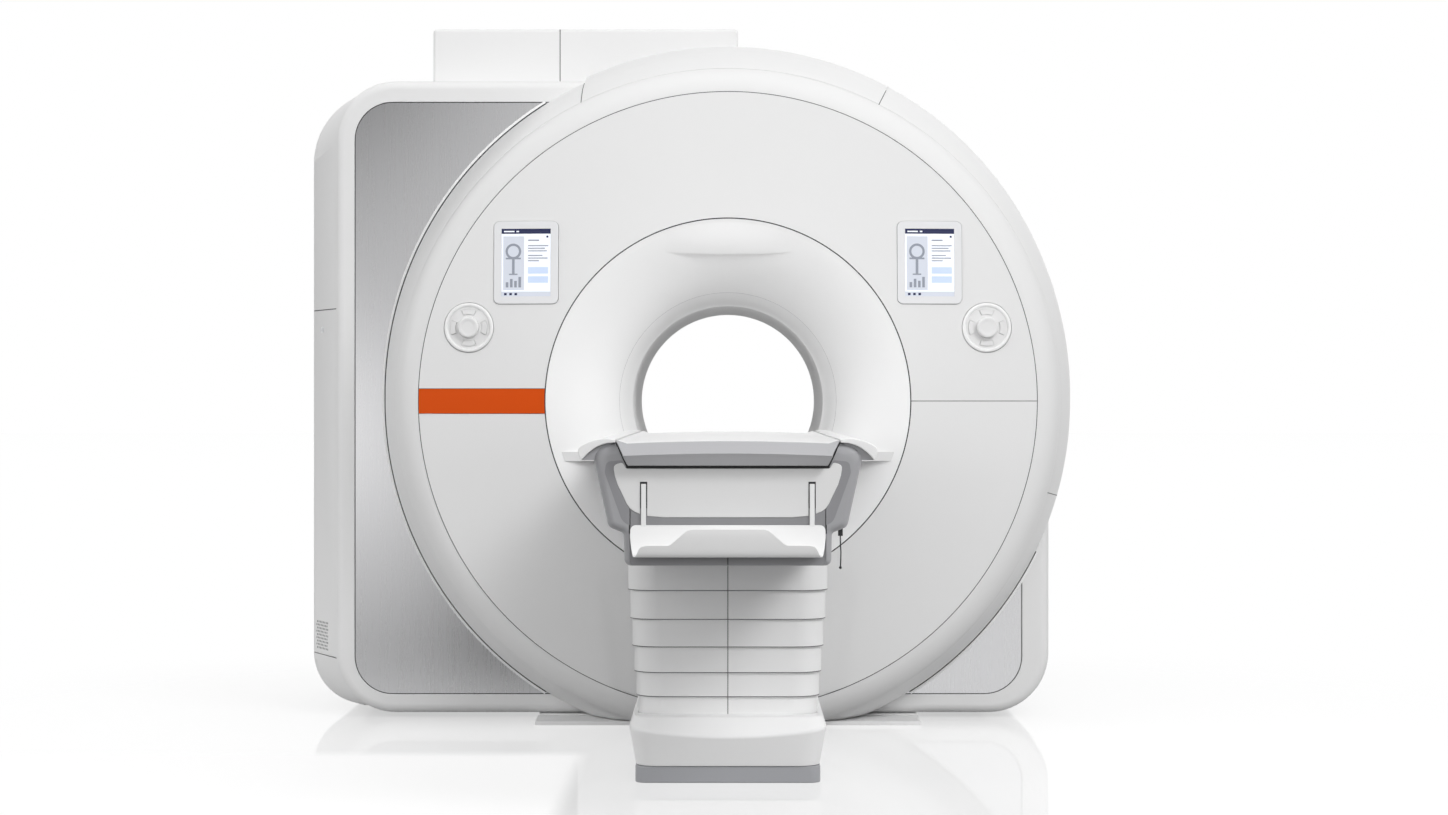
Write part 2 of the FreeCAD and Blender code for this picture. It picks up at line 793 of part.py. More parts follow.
def make_side_panels():
    """Brushed metal sheets in the frame, left and lower right of the rim."""
    sheet_metal = frame_opening(rim_plane + S.panel_recess.value, S.panel_sheet.value, S.panel_gap.value)
    disc = obround(S.rim_radius.value - S.rim_lap.value, S.rim_rise.value, rim_plane - skin)
    pieces = sheet_metal.cut(slab_of(disc, 4 * skin)).Solids
    pieces.sort(key=lambda s: s.CenterOfMass.x)
    keep(shaped("side_panel_left", pieces[0]))
    keep(shaped("side_panel_right", pieces[-1]))


def make_housing_covers():
    shell = housing_solid().cut(housing_solid(skin, open_bottom=True))
    corner = -S.housing_left.value - S.bulge.value + S.bulge_corner.value
    upper, foot = S.left_seam_height.value, S.foot_seam_height.value
    half = seam / 2
    keep(shaped("left_cover_upper", shell.common(
        wedge_box(-WIDE, corner - half, -WIDE, WIDE, upper + half, WIDE))))
    lower = shell.common(wedge_box(-WIDE, corner - half, -WIDE, WIDE, 0, upper - half))
    groove = lower.cut(housing_solid(skin / 4)).common(
        wedge_box(-WIDE, corner, -WIDE, WIDE, foot - seam, foot + seam))
    keep(shaped("left_cover_lower", lower.cut(groove)))
    seam_right = S.right_seam_height.value
    right = wedge_box(0, WIDE, -WIDE, WIDE, 0, seam_right - half)
    keep(shaped("right_cover", shell.common(right)))
    roof = shell.common(wedge_box(corner + half, WIDE, -WIDE, WIDE, seam_right + half, WIDE))
    hatch = S.turret_inset.value
    keep(shaped("roof_cover", roof.cut(wedge_box(
        -S.turret_left.value + hatch, S.turret_right.value - hatch,
        -S.turret_front.value + hatch, S.turret_back.value - hatch, S.axis_height.value, WIDE))))


def make_turret():
    left, right = -S.turret_left.value, S.turret_right.value
    front, back, top = -S.turret_front.value, S.turret_back.value, S.turret_top.value
    base = S.axis_height.value + S.vessel_radius.value
    outer = wedge_box(left, right, front, back, base, top)
    upright = [e for e in outer.Edges if e.BoundBox.ZLength > 1 or abs(e.BoundBox.ZMin - top) < 0.01]
    outer = outer.makeFillet(S.turret_edge.value, upright)
    inner = wedge_box(left + skin, right - skin, front + skin, back - skin, base, top - skin)
    shell = outer.cut(inner).cut(housing_solid(-fit))
    split = -S.turret_seam.value
    shell = shell.cut(wedge_box(split - seam / 2, split + seam / 2, -WIDE, WIDE, 0, WIDE))
    radius = (S.quench_bore + S.quench_wall + S.fit_gap).value
    shell = shell.cut(Part.makeCylinder(radius, WIDE, v(-S.quench_x.value, S.quench_y.value, 0)))
    pieces = sorted(shell.Solids, key=lambda s: -s.Volume)[:2]
    pieces.sort(key=lambda s: s.CenterOfMass.x)
    for label, piece in zip(("turret_cover_left", "turret_cover_right"), pieces):
        keep(shaped(label, piece))


def make_rear_cover():
    plate = slab_of(housing_wire(S.housing_back.value), skin)
    radius = (S.rear_drum_radius + S.seam_gap).value
    hole = Part.makeCylinder(radius, 4 * skin, v(0, S.housing_back.value - skin, S.axis_height.value), v(0, 1, 0))
    keep(shaped("rear_cover", plate.cut(hole)))


def make_rear_funnel():
    """Funnel at the back, and the flat cone with its drum round it."""
    end = S.gantry_half_depth
    slope = S.disc_setback
    step = S.rear_drum_radius - S.rear_disc_radius
    funnel = turned("rear_funnel", [
        (S.liner_half_length, S.bore_radius, funnel_arc), (end, S.seam_ring_radius),
        (tail_depth, tail_radius, -(funnel_arc - S.skin)),
        (S.liner_half_length, S.bore_radius + S.skin)])
    keep(on_axis(funnel))
    disc = turned("rear_disc", [
        (end, S.seam_ring_radius + S.seam_gap), (end - slope, S.rear_disc_radius, step),
        (end - slope - step, S.rear_drum_radius), (S.housing_back, S.rear_drum_radius),
        (S.housing_back, S.rear_drum_radius - S.skin),
        (end - slope - step, S.rear_drum_radius - S.skin, -(step - S.skin)),
        (end - slope - S.skin, S.rear_disc_radius), (end - S.skin, tail_radius + S.seam_gap)])
    keep(on_axis(disc))


# ---------------------------------------------------------------- magnet and coils

def make_magnet():
    length, outer, inner = S.vessel_half_length, S.vessel_radius, S.vessel_bore
    vessel = turned("vacuum_vessel", [(-length, inner), (length, inner), (length, outer), (-length, outer)])
    outer_edge = outer.value - 1
    round_edges(vessel, lambda edge: edge.BoundBox.XLength > 2 * outer_edge, S.vessel_edge)
    keep(on_axis(vessel))
    half, seat = S.gradient_half_length, inner - S.fit_gap
    keep(on_axis(turned("gradient_coil", [
        (-half, S.gradient_inner), (half, S.gradient_inner), (half, seat), (-half, seat)])))


def make_cover_ring():
    """A short drum on the magnet's front face that carries the front disc."""
    def behind_disc(radius):
        slope = S.disc_setback / (S.disc_radius - S.seam_ring_radius)
        return FRONT + S.skin + S.fit_gap + slope * (radius - S.seam_ring_radius)

    inner, outer = S.drum_radius, S.drum_radius + S.drum_wall
    root_y = -S.vessel_half_length
    foot = S.vessel_edge + S.drum_wall
    drum = turned("cover_ring", [
        (behind_disc(inner), inner), (behind_disc(outer), outer), (root_y - S.drum_wall, outer),
        (root_y - S.drum_wall, outer - foot), (root_y, outer - foot), (root_y, outer - foot - foot),
        (root_y - S.drum_wall - S.drum_wall, outer - foot - foot), (root_y - S.drum_wall - S.drum_wall, inner)])
    keep(on_axis(drum))


def vessel_cylinder(gap=0.0):
    half = S.vessel_half_length.value
    return Part.makeCylinder(
        S.vessel_radius.value + gap, 2 * half, v(0, -half, S.axis_height.value), v(0, 1, 0))


def make_feet():
    """Four steel feet under the magnet, each with an anchor hole in its floor plate."""
    feet = []
    reach_x, reach_y = S.feet_pitch_x.value / 2, S.feet_pitch_y.value / 2
    block, plate, thick = S.foot_block.value, S.foot_plate.value, S.foot_plate_thickness.value
    for side in (-1, 1):
        for end in (-1, 1):
            x, toe = side * reach_x, end * plate_toe.value
            heel = toe - end * plate
            plate_y, block_y = sorted((toe, heel)), sorted((heel, heel + end * block))
            foot = wedge_box(x - plate / 2, x + plate / 2, *plate_y, 0, thick)
            foot = foot.fuse(wedge_box(x - block / 2, x + block / 2, *block_y, 0, S.axis_height.value))
            hole = Part.makeCylinder(S.anchor_radius.value, 3 * thick, v(x, end * reach_y, -thick))
            foot = foot.cut(vessel_cylinder()).cut(hole)
            feet.append(min(foot.Solids, key=lambda solid: solid.CenterOfMass.z))
    keep(shaped("magnet_feet", Part.makeCompound(feet)))


# how far the feet's floor plates reach towards the front and the back
plate_toe = S.feet_pitch_y / 2 + 4 * S.anchor_radius


def make_quench_outlet():
    """A flanged pipe that rises from the magnet through the turret."""
    x, y = -S.quench_x.value, S.quench_y.value
    bore = S.quench_bore.value
    outer = bore + S.quench_wall.value
    top = (S.turret_top + S.quench_stub).value
    thick = S.quench_flange_thickness.value
    pipe = Part.makeCylinder(outer, top - S.axis_height.value, v(x, y, S.axis_height.value))
    flange = Part.makeCylinder(S.quench_flange.value, thick, v(x, y, top - thick))
    solid = pipe.fuse(flange).cut(Part.makeCylinder(bore, WIDE, v(x, y, 0)))
    for i in range(8):
        turn = math.radians(45 * i + 22.5)
        reach = S.quench_bolts.value
        solid = solid.cut(Part.makeCylinder(S.quench_bolt_hole.value, 3 * thick, v(
            x + reach * math.cos(turn), y + reach * math.sin(turn), top - 2 * thick)))
    solid = max(solid.cut(vessel_cylinder()).Solids, key=lambda s: s.CenterOfMass.z)
    keep(shaped("quench_outlet", solid))


# ---------------------------------------------------------------- displays and control units

def unit_placement(x, z):
    """Puts a unit on the front disc: its own Y axis ends up square to the disc there."""
    reach = math.hypot(x, z)
    slope = S.disc_setback.value / (S.disc_radius.value - S.seam_ring_radius.value)
    y = FRONT.value + slope * (reach - S.seam_ring_radius.value)
    tilt = FreeCAD.Rotation(v(-z / reach, 0, x / reach), math.degrees(math.atan(slope)))
    return FreeCAD.Placement(v(x, y, S.axis_height.value + z), tilt)


def unit_places():
    for side, x_sign in (("left", -1), ("right", 1)):
        display = unit_placement(x_sign * S.display_x.value, S.display_z.value)
        control = unit_placement(x_sign * S.control_x.value, S.control_z.value)
        yield side, display, control


def display_outline(gap=0):
    half_w, half_h = S.display_width / 2 + gap, S.display_height / 2 + gap
    return rounded_rectangle(-half_w, half_w, -half_h, half_h, S.display_corner)


def unit_openings():
    """What is cut out of the front disc for the displays and control units."""
    cuts = []
    for side, display, control in unit_places():
        window = body("display_window_" + side)
        add_prism(window, "XZ", display_outline(S.fit_gap), -S.display_depth, S.display_depth)
        window.Placement = display
        well = body("control_well_" + side)
        prism(well, "XZ", circles, [(0, 0, S.control_radius + S.fit_gap)], -S.control_depth, S.control_depth)
        well.Placement = control
        cuts += [window, well]
    return fused("disc_openings", cuts)


def make_display(side, place):
    unit = body("display_" + side)
    front = -S.display_proud
    add_prism(unit, "XZ", display_outline(), front, S.display_depth)
    half_w, half_h = S.screen_width / 2, S.screen_height / 2
    cut_prism(unit, "XZ", rectangle(-half_w, half_w, -half_h, half_h), front, front + S.screen_recess)
    unit.Placement = place
    keep(unit)


def sector(inner, outer, quarter, trim=0):
    """A ring segment about straight up, shortened by trim at each end, turned clockwise by quarter turns."""
    half = S.button_angle / 2 - trim
    sine = Size(math.sin(math.radians(half.value)), f"sin({half.formula})")
    cosine = Size(math.cos(math.radians(half.value)), f"cos({half.formula})")
    path = [(inner * sine, inner * cosine), (outer * sine, outer * cosine, outer),
            (-outer * sine, outer * cosine), (-inner * sine, inner * cosine, -inner)]
    for _ in range(quarter):
        path = [(point[1], -point[0]) + tuple(point[2:]) for point in path]
    return path


BUTTONS = ("upper", "outer", "lower", "inner")


def make_control_unit(side, place):
    """A round housing with four buttons about a jog knob on a fixed spindle."""
    dish = -S.control_proud + S.control_dish
    floor = dish + S.button_depth
    housing = turned(f"control_housing_{side}", [
        (S.control_depth - S.control_proud, 0), (dish - S.knob_height * 0.7, 0),
        (dish - S.knob_height * 0.7, S.knob_spindle), (dish, S.knob_spindle),
        (dish, S.control_radius - S.control_ring), (-S.control_proud, S.control_radius - S.control_ring),
        (-S.control_proud, S.control_radius), (S.control_depth - S.control_proud, S.control_radius)])
    for quarter in range(len(BUTTONS)):
        cut_prism(housing, "XZ", sector(S.button_inner, S.button_outer, quarter), dish - 1, floor)
    housing.Placement = place
    keep(housing)
    knob = turned(f"knob_{side}", [
        (dish - S.knob_gap, S.knob_spindle + S.spindle_gap), (dish - S.knob_gap, S.knob_radius),
        (dish - S.knob_height * 0.85, S.knob_radius), (dish - S.knob_height, S.knob_radius * 0.9),
        (dish - S.knob_height, S.knob_radius * 0.7), (dish - S.knob_height * 0.92, S.knob_radius * 0.6),
        (dish - S.knob_height * 0.92, 0), (dish - S.knob_height * 0.75, 0),
        (dish - S.knob_height * 0.75, S.knob_spindle + S.spindle_gap)])
    knob.Placement = place
    keep(knob)
    inner, outer = S.button_inner + S.button_gap, S.button_outer - S.button_gap
    for quarter, name in enumerate(BUTTONS):
        button = body(f"button_{name}_{side}")
        add_prism(button, "XZ", sector(inner, outer, quarter, S.button_angle_gap), dish - S.button_proud,
                  floor - S.button_travel - S.button_play)
        button.Placement = place
        keep(button)


def make_units():
    for side, display, control in unit_places():
        make_display(side, display)
        make_control_unit(side, control)


# ---------------------------------------------------------------- patient table, lifted part

TABLE_FRONT = -S.table_foot_end
TABLE_BACK = -S.table_head_end
slot_floor = S.top_underside - S.top_side_gap
flank = (S.top_half_width - S.top_base_half_width) / S.top_thickness


def beside_top(height):
    """How far from the middle a neighbour of the table top's flank may start."""
    return S.top_base_half_width + flank * (height - S.top_underside) + S.top_side_gap


def make_table_top():
    """A shallow slab with leaning flanks, a slightly crowned top and a nose at its foot end."""
    foot, head = -S.top_foot_end, -S.top_head_end
    nose = foot - S.top_nose
    low, high = S.top_underside, S.top_underside + S.top_thickness
    half, crown = S.top_half_width, S.top_crown
    crown_arc = (half * half + crown * crown) / (2 * crown)
    top = body("table_top")
    add_prism(top, "XZ", [
        (-S.top_base_half_width, low), (S.top_base_half_width, low), (half, high, crown_arc), (-half, high)],
        nose, head)
    ridge, above = low + S.top_ridge, high + 2 * crown
    cut_prism(top, "YZ", [(nose - 1, ridge), (nose, ridge), (foot, above), (nose - 1, above)], -half, half)
    cut_prism(top, "YZ", [(nose - 1, low), (foot, low), (nose, ridge), (nose - 1, ridge)], -half, half)
    keep(top)


def body_profile():
    return mirrored([
        (S.neck_outer, S.body_bottom), (S.neck_outer, S.neck_height), (S.waist_outer, S.waist_height),
        (S.arm_outer, S.arm_top), (beside_top(S.arm_top), S.arm_top), (beside_top(slot_floor), slot_floor)])


def end_panel_profile(gap=0):
    """A bowed lower edge, and two shoulders beside the slot that the table top runs in."""
    low, top = S.waist_height + S.panel_rise - gap, slot_floor - S.panel_margin + gap
    foot, side = S.panel_foot_half + gap, S.panel_top_half + gap
    flat, bow = foot - S.panel_round, S.panel_bow
    return mirrored([
        (flat, low + bow, S.panel_round), (foot, low + bow + S.panel_round),
        (side - 2 * S.panel_margin, top - S.panel_margin), (side, top + S.panel_margin),
        (side - 2 * S.panel_margin, top + 3 * S.panel_margin),
        (side - 6 * S.panel_margin - 2 * gap, top + 3 * S.panel_margin),
        (side - 8 * S.panel_margin - 2 * gap, top)], (flat * flat + bow * bow) / (2 * bow))


def make_table_body():
    """A tub with drawn-in sides on a wider block over the lifting columns."""
    wall = S.body_wall
    tub = body("table_body")
    add_prism(tub, "XZ", body_profile(), TABLE_FRONT, TABLE_BACK)
    half = S.head_block_half
    block_front, block_back = -S.slat_front - S.slat_play, -S.slat_back + S.slat_play
    add_prism(tub, "XY", rectangle(-half, half, block_front, block_back), S.body_bottom, S.head_block_top)
    above = S.arm_top + 1
    inside = mirrored([
        (S.neck_outer - wall, S.body_bottom + wall), (S.neck_outer - wall, S.neck_height + wall / 2),
        (S.waist_outer - wall, S.waist_height + wall / 4), (S.arm_outer - wall - 2, above)])
    cut_prism(tub, "XZ", inside, TABLE_FRONT + S.end_wall, TABLE_BACK - S.end_wall)
    cut_prism(tub, "XY", rectangle(-half + wall, half - wall, block_front + wall, block_back - wall),
              S.body_bottom + wall, S.head_block_top - wall)
    for column in (S.column_front, S.column_back):
        reach = ram_half() + S.fit_gap
        cut_prism(tub, "XY", rectangle(-reach, reach, -column - reach, -column + reach),
                  S.body_bottom - 1, S.body_bottom + wall + 1)
    cut_prism(tub, "XZ", end_panel_profile(S.fit_gap), TABLE_FRONT - 1, TABLE_FRONT + S.panel_inset)
    for x in (-S.end_groove_x - S.end_groove / 2, S.end_groove_x - S.end_groove / 2):
        cut_prism(tub, "XZ", rectangle(x, x + S.end_groove, S.head_block_top, S.end_groove_top),
                  TABLE_FRONT - 1, TABLE_FRONT + S.end_groove)
    keep(tub)
    return tub


def make_end_panel():
    panel = body("end_panel")
    face = TABLE_FRONT + S.panel_step
    add_prism(panel, "XZ", end_panel_profile(), face, TABLE_FRONT + S.panel_inset)
    keep(panel)


def make_side_rails():
    """White wings along both sides of the table top, hollow underneath for clamps."""
    low = S.arm_top
    tip = S.wing_tip
    path = [
        (beside_top(low), low), (S.arm_outer, low), (S.arm_outer, low + S.wing_thickness / 2),
        (tip - S.wing_thickness * 0.6, low + S.wing_thickness / 2), (tip - S.wing_thickness * 0.6, low + 1),
        (tip - S.wing_thickness * 0.2, low + 1), (tip, low + S.wing_thickness * 0.4),
        (tip, low + S.wing_thickness), (tip - S.wing_thickness, low + S.wing_thickness * 1.4),
        (S.arm_outer - S.wing_thickness, S.wing_top - S.top_crown), (beside_top(S.wing_top), S.wing_top)]
    rails = []
    for side, sign in (("right", 1), ("left", -1)):
        rail = body("side_rail_" + side)
        own = path if sign > 0 else [(-a, b) for a, b in reversed(path)]
        add_prism(rail, "XZ", own, TABLE_FRONT, TABLE_BACK)
        rails.append(rail)
    keep(compound("side_rails", rails))


def ram_half():
    """Half width of the innermost column, which runs in the middle one."""
    return S.column_outer / 2 - 2 * (S.column_wall + S.column_play)


def make_chassis():
    """Steel rails under the table top, tied together and welded to the two rams."""
    low = S.body_bottom + S.body_wall
    top = S.top_underside - S.top_running_gap
    front, back = TABLE_FRONT + S.end_wall + S.fit_gap, TABLE_BACK - S.end_wall - S.fit_gap
    pieces = []
    for side in (-1, 1):
        middle = side * S.rail_half_pitch
        pieces.append(box(f"rail_{side}", (middle - S.rail_width / 2, front, low),
                          (middle + S.rail_width / 2, back, top)))
    reach = S.rail_half_pitch + S.rail_width / 2
    for i, y in enumerate((front, -S.column_front, -S.column_back, back - S.rail_width)):
        pieces.append(box(f"tie_{i}", (-reach, y, low), (reach, y + S.rail_width, low + 6 * S.rail_tie)))
    half = ram_half()
    bottom = ram_bottom()
    for i, column in enumerate((S.column_front, S.column_back)):
        outer = box(f"ram_outer_{i}", (-half, -column - half, bottom), (half, -column + half, low + S.ram_flange))
        bore = half - S.column_wall
        inner = box(f"ram_inner_{i}", (-bore, -column - bore, bottom - 1), (bore, -column + bore, low))
        pieces.append(combined(f"ram_{i}", "Cut", outer, inner))
    keep(fused("table_chassis", pieces))


def make_tray():
    """One bent sheet with a lip that is low at the sides, welded to two flat hangers."""
    back = TABLE_FRONT - S.hanger_sheet
    front = back - S.tray_depth
    thick, bend = S.tray_sheet, S.tray_bend
    low, half = S.tray_bottom, S.tray_half_width
    tray = body("tray_sheet")
    add_prism(tray, "YZ", [
        (back, S.tray_back_top), (back - thick, S.tray_back_top), (back - thick, low + bend, thick - bend),
        (back - bend, low + thick), (front + bend, low + thick, thick - bend), (front + thick, low + bend),
        (front + thick, S.tray_lip_high), (front, S.tray_lip_high), (front, low + bend, bend),
        (front + bend, low), (back - bend, low, bend), (back, low + bend)], -half, half)
    crest, shoulder, dip = half * 0.29, half * 0.54, half * 0.85
    above = S.tray_lip_high + 1
    for sign in (1, -1):
        cut_prism(tray, "XZ", [
            (sign * crest, above), (sign * crest * 1.15, S.tray_lip_high - thick / 2),
            (sign * shoulder, S.tray_lip_low + thick), (sign * shoulder * 1.12, S.tray_lip_low),
            (sign * dip, S.tray_lip_low), (sign * half * 0.91, S.tray_lip_low - thick * 2),
            (sign * half * 0.94, low + thick / 2), (sign * (half + 1), low + thick / 2),
            (sign * (half + 1), above)], front - 1, front + bend * 0.9)
    top = S.tray_back_top.value - 0.01
    round_edges(tray, lambda edge: edge.BoundBox.ZMin > top and edge.BoundBox.XLength < 1, bend)
    pieces = [tray]
    for i, middle in enumerate((-S.hanger_half_pitch, S.hanger_half_pitch)):
        pieces.append(box(f"hanger_{i}", (middle - S.hanger_width / 2, back, low + bend),
                          (middle + S.hanger_width / 2, TABLE_FRONT, S.hanger_top)))
    keep(fused("accessory_tray", pieces))


def compound(label, pieces):
    """Like pieces that stay separate solids in one node."""
    new = doc.addObject("Part::Compound", label)
    new.Links = pieces
    doc.recompute()
    return new


def make_release_cord(tub):
    """A small hook under the table's right shoulder, with a short pull cord hanging from it."""
    middle_x, middle_y = S.waist_outer - S.hook_inset, TABLE_FRONT + S.hook_from_foot
    half, top = S.hook_width / 2, S.waist_height
    low = top - S.hook_height
    block = box("hook_block", (middle_x - half, middle_y - half, low), (middle_x + half, middle_y + half, top))
    keep(combined("cord_hook", "Cut", block, tub))
    # the cord sways a little to the right on its way down
    route = [(0, 0), (0, 0.26), (1.5, 0.52), (0.5, 0.77), (0, 1)]
    length = S.cord_length.value
    keep(shaped("release_cord", cord_tube([
        (middle_x.value + sway, middle_y.value, low.value - length * part) for sway, part in route])))


def cord_tube(points):
    """Straight runs joined by tangent arcs."""
    radius = S.cord_diameter.value / 2
    corners = [v(*point) for point in points]
    edges = []
    start = corners[0]
    for before, here, after in zip(corners, corners[1:], corners[2:]):
        into, out = (here - before).normalize(), (after - here).normalize()
        turn = into.getAngle(out)
        run = min((here - before).Length, (after - here).Length)
        cut = 0.45 * run
        arc_radius = cut / math.tan(turn / 2)
        print(f"cord arc radius {arc_radius:.0f} mm")
        first, last = here - into * cut, here + out * cut
        middle = here + (out - into).normalize() * (arc_radius / math.cos(turn / 2) - arc_radius)
        edges.append(Part.makeLine(start, first))
        edges.append(Part.Arc(first, middle, last).toShape())
        start = last
    edges.append(Part.makeLine(start, corners[-1]))
    path = Part.Wire(edges)
    ring = Part.Wire([Part.makeCircle(radius, corners[0], corners[1] - corners[0])])
    tube = path.makePipeShell([ring], True, False)
    print(f"cord volume {tube.Volume:.1f}, section times length {math.pi * radius ** 2 * path.Length:.1f}")
    return tube


# ---------------------------------------------------------------- columns and folding cover

def slat_bottoms():
    """Lower edges of the slats from the first, which hangs from the table's body, to the sixth."""
    bottom = S.base_cover_top + S.slat_rest_gap
    heights = [S.slat_6_height, S.slat_5_height, S.slat_4_height, S.slat_3_height, S.slat_2_height]
    edges = [bottom]
    for height in heights:
        edges.append(edges[-1] + height)
    return edges[::-1]


def make_slats():
    """Six sleeves in two halves each, nested so that each slides down over the next."""
    bottoms = slat_bottoms()
    for index, bottom in enumerate(bottoms):
        step = index * (S.slat_wall + S.slat_play)
        half = S.slat_1_half_width - step
        front, back = -S.slat_front + step, -S.slat_back - step
        top = S.body_bottom - S.fit_gap if index == 0 else bottoms[index - 1] + S.slat_overlap
        if index == len(bottoms) - 1:
            bottom = S.base_cover_top - S.slat_root
        wall, bend, middle = S.slat_wall, S.slat_corner, S.seam_gap / 2
        right = body(f"slat_{index + 1}_right")
        add_prism(right, "XY", [
            (middle, front), (half - bend, front, bend), (half, front + bend), (half, back - bend, bend),
            (half - bend, back), (middle, back), (middle, back - wall), (half - bend, back - wall, wall - bend),
            (half - wall, back - bend), (half - wall, front + bend, wall - bend),
            (half - bend, front + wall), (middle, front + wall)], bottom, top)
        left = doc.addObject("Part::Mirroring", f"slat_{index + 1}_left")
        left.Source = right
        left.Normal = FreeCAD.Vector(1, 0, 0)
        keep(compound(f"slat_{index + 1}", [right, left]))


def ram_bottom():
    return S.floor_plate + S.lift_travel + S.column_end_gap


def column_pair(label, half, wall, low, high):
    """Two square tubes, one behind the other."""
    pieces = []
    for i, column in enumerate((S.column_front, S.column_back)):
        outer = box(f"{label}_outer_{i}", (-half, -column - half, low), (half, -column + half, high))
        bore = half - wall
        inner = box(f"{label}_inner_{i}", (-bore, -column - bore, low - 1), (bore, -column + bore, high + 1))
        pieces.append(combined(f"{label}_tube_{i}", "Cut", outer, inner))
    return pieces


def make_columns():
    """A floor plate with two outer tubes, and the middle stage that runs half as fast as the rams."""
    plate_half = S.floor_plate_half_width
    front = -S.plinth_front + S.plinth_wall + S.fit_gap
    toe = -plate_toe
    plate = box("floor_plate_long", (-plate_half, front, 0), (plate_half, toe, S.floor_plate))
    reach = S.feet_pitch_x / 2 + S.foot_plate / 2
    cross = box("floor_plate_cross", (-reach, toe - S.foot_block, 0), (reach, toe, S.floor_plate))
    tubes = column_pair("column", S.column_outer / 2, S.column_wall, S.floor_plate, S.column_top)
    base = fused("lift_base_solid", [plate, cross] + tubes)
    bolts = []
    for i, y in enumerate((-S.column_front, -S.column_back)):
        for j, x in enumerate((-S.floor_bolt_x / 2, S.floor_bolt_x / 2)):
            bolt = doc.addObject("Part::Cylinder", f"floor_bolt_{i}{j}")
            bind(bolt, "Radius", S.floor_bolt_radius)
            bind(bolt, "Height", 3 * S.floor_plate)
            bind(bolt, "Placement.Base.x", x)
            bind(bolt, "Placement.Base.y", y)
            bind(bolt, "Placement.Base.z", -S.floor_plate)
            bolts.append(bolt)
    keep(combined("lift_base", "Cut", base, fused("floor_bolts", bolts)))
    low = S.floor_plate + S.lift_travel / 2 + S.column_end_gap
    half = S.column_outer / 2 - S.column_wall - S.column_play
    keep(compound("lift_stage", column_pair("stage", half, S.column_wall, low, low + S.stage_length)))


def make_base_cover():
    """A moulded skirt that swells forwards to a crest, open in the middle."""
    cover = body("table_base_cover")
    stations = [
        (S.base_cover_bottom + S.fit_gap / 2, S.base_half_bottom, S.base_front_bottom),
        (S.base_cover_crest, S.base_half_crest, S.base_front_crest),
        (S.base_cover_top, S.base_half_top, S.base_front_top)]
    sections = []
    for level, half, front in stations:
        sections.append(outline(cover, "XY", rounded_rectangle(
            -half, half, -front, -S.base_back, S.base_corner), level))
    skirt = cover.newObject("PartDesign::AdditiveLoft", "base_cover_loft")
    skirt.Profile = sections[0]
    skirt.Sections = sections[1:]
    skirt.Ruled = True
    doc.recompute()
    step = (S.slat_count - 1) * (S.slat_wall + S.slat_play) - S.fit_gap
    half = S.slat_1_half_width - step
    cut_prism(cover, "XY", rounded_rectangle(
        -half, half, -S.slat_front + step, -S.slat_back - step, S.slat_corner), 0, S.base_cover_top + 1)
    keep(cover)


def make_plinth():
    plinth = body("table_plinth")
    half, front, back, wall = S.plinth_half_width, -S.plinth_front, -S.base_back - 2 * S.skin, S.plinth_wall
    add_prism(plinth, "XY", rounded_rectangle(-half, half, front, back, S.base_corner / 2),
              0, S.base_cover_bottom)
    cut_prism(plinth, "XY", rectangle(-half + wall, half - wall, front + wall, back - wall),
              -1, S.base_cover_bottom + 1)
    # the floor plate leaves through the rear wall
    reach = S.floor_plate_half_width + S.fit_gap
    cut_prism(plinth, "XY", rectangle(-reach, reach, back - wall - 1, back + 1),
              -1, S.floor_plate + S.fit_gap)
    keep(plinth)


# ---------------------------------------------------------------- everything

make_bore_liner()
make_front_funnel()
make_bore_bridge()
make_front_disc()
make_front_roll()
make_rim()
make_front_frame()
make_side_panels()
make_housing_covers()
make_turret()
make_rear_cover()
make_rear_funnel()
make_magnet()
make_cover_ring()
make_feet()
make_quench_outlet()
make_units()
make_table_top()
table_body = make_table_body()
make_end_panel()
make_side_rails()
make_chassis()
make_tray()
make_release_cord(table_body)
make_slats()
make_columns()
make_base_cover()
make_plinth()
doc.recompute()

for thing in doc.Objects:
    if "Invalid" in thing.State or "Error" in thing.State:
        raise RuntimeError(f"{thing.Label} failed: {thing.State}")
for node in nodes:
    if node.Shape.isNull() or not node.Shape.isValid() or not node.Shape.Solids:
        raise RuntimeError(f"{node.Label} has no valid shape")

os.makedirs("parts", exist_ok=True)
for node in nodes:
    node.Shape.exportStep(f"parts/{node.Label}.step")
print(f"{len(nodes)} nodes written")
